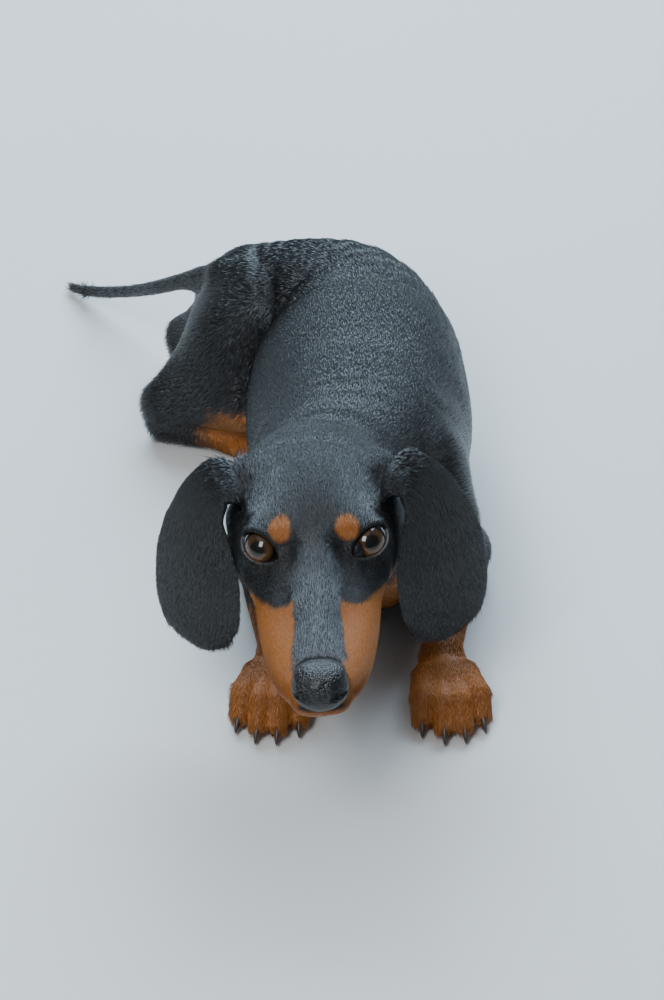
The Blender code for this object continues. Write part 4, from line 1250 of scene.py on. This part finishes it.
def coat_roots(points, faces, on_ear_face, cover, limit):
    """The roots of the tufts, spread over the skin, each with the skin's normal and whether it is on an ear."""
    rng = np.random.default_rng(29)
    a, b, c = (points[faces[:, i]] for i in range(3))
    middle = (a + b + c) / 3
    cross = np.cross(b - a, c - a)
    area = np.linalg.norm(cross, axis=1) / 2
    facing = unit_rows(cross)
    length, width, _ = region_sizes(middle, on_ear_face)
    density = cover / (0.5 * length * width)
    hidden = (middle[:, 2] < 3.5) & (facing[:, 2] < -0.6)
    density[hidden] *= 0.12
    q = to_head(middle)
    for side in (LEFT, RIGHT):
        reach = np.linalg.norm(q - eye_spot(side), axis=1) < 17
        density[reach & (lid_opening(q, side) < 1.5)] = 0
    density[nose_pad(q) < 0.25] = 0
    density[round_mouth(q, 9) & (middle[:, 1] < 0) & (from_mouth(q) < 1.1)] = 0
    wanted = area * density
    wanted *= min(1.0, limit / wanted.sum())
    count = np.floor(wanted).astype(int) + (rng.random(len(wanted)) < wanted % 1)
    face = np.repeat(np.arange(len(faces)), count)
    u, v = rng.random(len(face)), rng.random(len(face))
    over = u + v > 1
    u[over], v[over] = 1 - u[over], 1 - v[over]
    root = a[face] + (b - a)[face] * u[:, None] + (c - a)[face] * v[:, None]
    point_normal = normals_of(points, faces)
    na, nb, nc = (point_normal[faces[:, i]] for i in range(3))
    normal = na[face] * (1 - u - v)[:, None] + nb[face] * u[:, None] + nc[face] * v[:, None]
    return root, unit_rows(normal), on_ear_face[face]


def wedges(root, normal, lie, length, width, rise, rng):
    """Four points and four outward triangles for each tuft."""
    count = len(root)
    turn = rng.normal(0, SPLAY, count)
    side = np.cross(normal, lie)
    lie = lie * np.cos(turn)[:, None] + side * np.sin(turn)[:, None]
    side = np.cross(normal, lie)
    length = length * rng.uniform(0.72, 1.25, count)
    width = width * rng.uniform(0.75, 1.2, count)
    rise = rise * rng.uniform(0.7, 1.35, count)
    base = root - normal * ROOT_DEPTH
    half = side * (width / 2)[:, None]
    crest = root + lie * (length * 0.34)[:, None] + normal * (length * 0.34 * rise + width * 0.11)[:, None]
    crest += half * rng.uniform(-0.35, 0.35, count)[:, None]
    tip = root + lie * length[:, None] + normal * (length * rise * 0.62)[:, None]
    tip += half * rng.uniform(-0.6, 0.6, count)[:, None]
    points = np.stack([base - half, base + half, crest, tip], 1)
    points[..., 2] = np.maximum(points[..., 2], 0.05)
    pattern = np.array([(0, 3, 2), (1, 2, 3), (0, 2, 1), (0, 1, 3)])
    faces = (np.arange(count)[:, None, None] * 4 + pattern).reshape(-1, 3)
    return points.reshape(-1, 3), faces


def unwrap(root, normal):
    """Where each root lies on a flat layout of its stretch of skin, with one field for each of the six ways it
    can face."""
    low, high = root.min(0), root.max(0)
    share = (root - low) / np.maximum(high - low, 1e-6)
    axis, rows = np.abs(normal).argmax(1), np.arange(len(root))
    field = axis * 2 + (normal[rows, axis] > 0)
    first, second = np.array([1, 0, 0])[axis], np.array([2, 2, 1])[axis]
    u = (field % 3 + 0.03 + 0.94 * share[rows, first]) / 3
    v = (field // 3 + 0.03 + 0.94 * share[rows, second]) / 2
    return np.stack([u, v], 1)


def hair_material():
    material = new_material("short_shining_hair")
    markings_and_painted_light = add_node(material, "Attribute", attribute_name="markings_and_painted_light")["Color"]
    return with_shader(material, {"Base Color": markings_and_painted_light, "Roughness": 0.33, "Specular IOR Level": 0.8})


roots, root_normals, roots_on_ear = coat_roots(skin_points, skin_faces, of_ear, COVER, TUFT_LIMIT)
lie = lie_of_coat(roots, root_normals)
on_rim = np.zeros(len(roots), bool)
for side in (LEFT, RIGHT):
    here = roots_on_ear & (roots[:, 0] * side > 0)
    lie[here], down, off = ear_lie(roots[here], root_normals[here], side)
    on_rim[here] = (off > 0.8) | (down > 0.92)
tuft_length, tuft_width, tuft_rise = region_sizes(roots, roots_on_ear)
tuft_length[on_rim] *= 0.62
for side in (LEFT, RIGHT):
    from_fold = np.linalg.norm(to_head(roots) - (-41, side * 36, 12), axis=1)
    wisp = rng.random(len(roots)) < 0.22 * np.exp(-((from_fold / 7) ** 2))
    tuft_length[wisp], tuft_width[wisp], tuft_rise[wisp] = WISP
tuft_colour = coat_colour(roots, roots_on_ear, rng)
on_head = on_the_head(roots) & ~roots_on_ear
group_of = np.where(roots_on_ear, 0, np.where(on_head, 1, 2))
along_body = np.where(roots_on_ear, roots[:, 0], roots[:, 1] + 0.4 * roots[:, 2])
sequence = np.argsort(group_of * 1e6 + np.where(on_head, -to_head(roots)[:, 0], along_body), kind="stable")
hair = hair_material()
for group, word in enumerate(("ears", "head", "body")):
    members = sequence[group_of[sequence] == group]
    parts = max(1, math.ceil(len(members) / PIECE_TUFTS))
    for number, chosen in enumerate(np.array_split(members, parts)):
        points, faces = wedges(roots[chosen], root_normals[chosen], lie[chosen], tuft_length[chosen],
                               tuft_width[chosen], tuft_rise[chosen], rng)
        piece = placed(f"coat_{word}_{number + 1}", points, faces, hair, smooth=False)
        # Painted shade and highlight: each tuft is darker at its two root corners and a little lighter at its
        # crest and tip. The colour attribute carries the real markings together with this painted light and the
        # painted sheen of the grey hairs.
        painted_light_and_shade = np.tile([0.55, 0.55, 1.0, 1.15], len(chosen))[:, None]
        colour_attribute(piece.data, "markings_and_painted_light", np.repeat(tuft_colour[chosen], 4, 0) * painted_light_and_shade)
        flat = unwrap(roots[chosen], root_normals[chosen])
        corner = np.array([(-1, -1), (1, -1), (0, 0), (0, 1)]) * 0.0015
        layout = (flat[:, None] + corner).reshape(-1, 2)[faces.ravel()]
        uv = piece.data.uv_layers.new(name="OFBake")
        uv.data.foreach_set("uv", layout.astype(np.float32).ravel())
        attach(piece, "root")


# Studio. A wide pale floor, one wide cool light high behind the dog, a weak one above and a soft one in
# front, and the camera at the photograph's angle.


FLOOR_REACH = 6


def stage_floor():
    material = clouded_material("pale_floor", 3, 2, ((0.70, 0.70, 0.69), (0.74, 0.74, 0.73)), 0.7)
    mesh = bpy.data.meshes.new("floor")
    corners = [(x * FLOOR_REACH, y * FLOOR_REACH, 0) for x, y in ((-1, -1), (1, -1), (1, 1), (-1, 1))]
    mesh.from_pydata(corners, [], [(0, 1, 2, 3)])
    mesh.materials.append(material)
    obj = bpy.data.objects.new("floor", mesh)
    bpy.context.scene.collection.objects.link(obj)
    return obj


def soft_light(name, spot, target, size, power, colour):
    """A rectangular light at a spot, turned to a target."""
    data = bpy.data.lights.new(name, "AREA")
    data.shape = "RECTANGLE"
    data.size, data.size_y = size
    data.energy = power
    data.color = colour
    obj = bpy.data.objects.new(name, data)
    obj.location = spot
    obj.rotation_mode = "QUATERNION"
    obj.rotation_quaternion = (Vector(target) - Vector(spot)).to_track_quat("-Z", "Y")
    bpy.context.scene.collection.objects.link(obj)


floor = stage_floor()
soft_light("sky_panel", (0.1, 1.5, 1.6), (0, 0, 0.05), (2.6, 1.8), 115, (0.64, 0.83, 1.0))
soft_light("top_panel", (-0.2, -0.1, 1.5), (0, 0, 0.05), (1.2, 1.2), 3, (0.96, 0.98, 1.0))
soft_light("window_panel", (-0.33, -0.92, 1.2), (0, 0, 0.08), (0.5, 0.75), 15, (0.93, 0.97, 1.0))
world = bpy.data.worlds.new("studio")
world.use_nodes = True
set_inputs(world.node_tree.nodes["Background"], {"Color": (0.75, 0.82, 0.88, 1), "Strength": 0.16})
bpy.context.scene.world = world

# Camera: 38 degrees above the horizon, in front of the dog, with the eyes a little left of and below the
# middle
CAMERA_RISE = 38.0
CAMERA_REACH = 1.35
VIEW_SIZE = (664, 1000)
PIXEL = 0.000432
EYES_AT = (315.0, 545.0)
rise = math.radians(CAMERA_RISE)
forward = np.array([0, math.cos(rise), -math.sin(rise)])
upwards = np.array([0, math.sin(rise), math.cos(rise)])
across, down = ((half / 2 - at) * PIXEL for half, at in zip(VIEW_SIZE, EYES_AT))
aim = (HEAD_SPOT + PLACE) * MM + np.array([across, 0, 0]) - upwards * down
camera_data = bpy.data.cameras.new("camera")
camera_data.lens = camera_data.sensor_width / (VIEW_SIZE[1] * PIXEL / CAMERA_REACH)
camera = bpy.data.objects.new("camera", camera_data)
camera.location = aim - forward * CAMERA_REACH
camera.rotation_euler = (math.pi / 2 - rise, 0, 0)
bpy.context.scene.collection.objects.link(camera)
bpy.context.scene.camera = camera
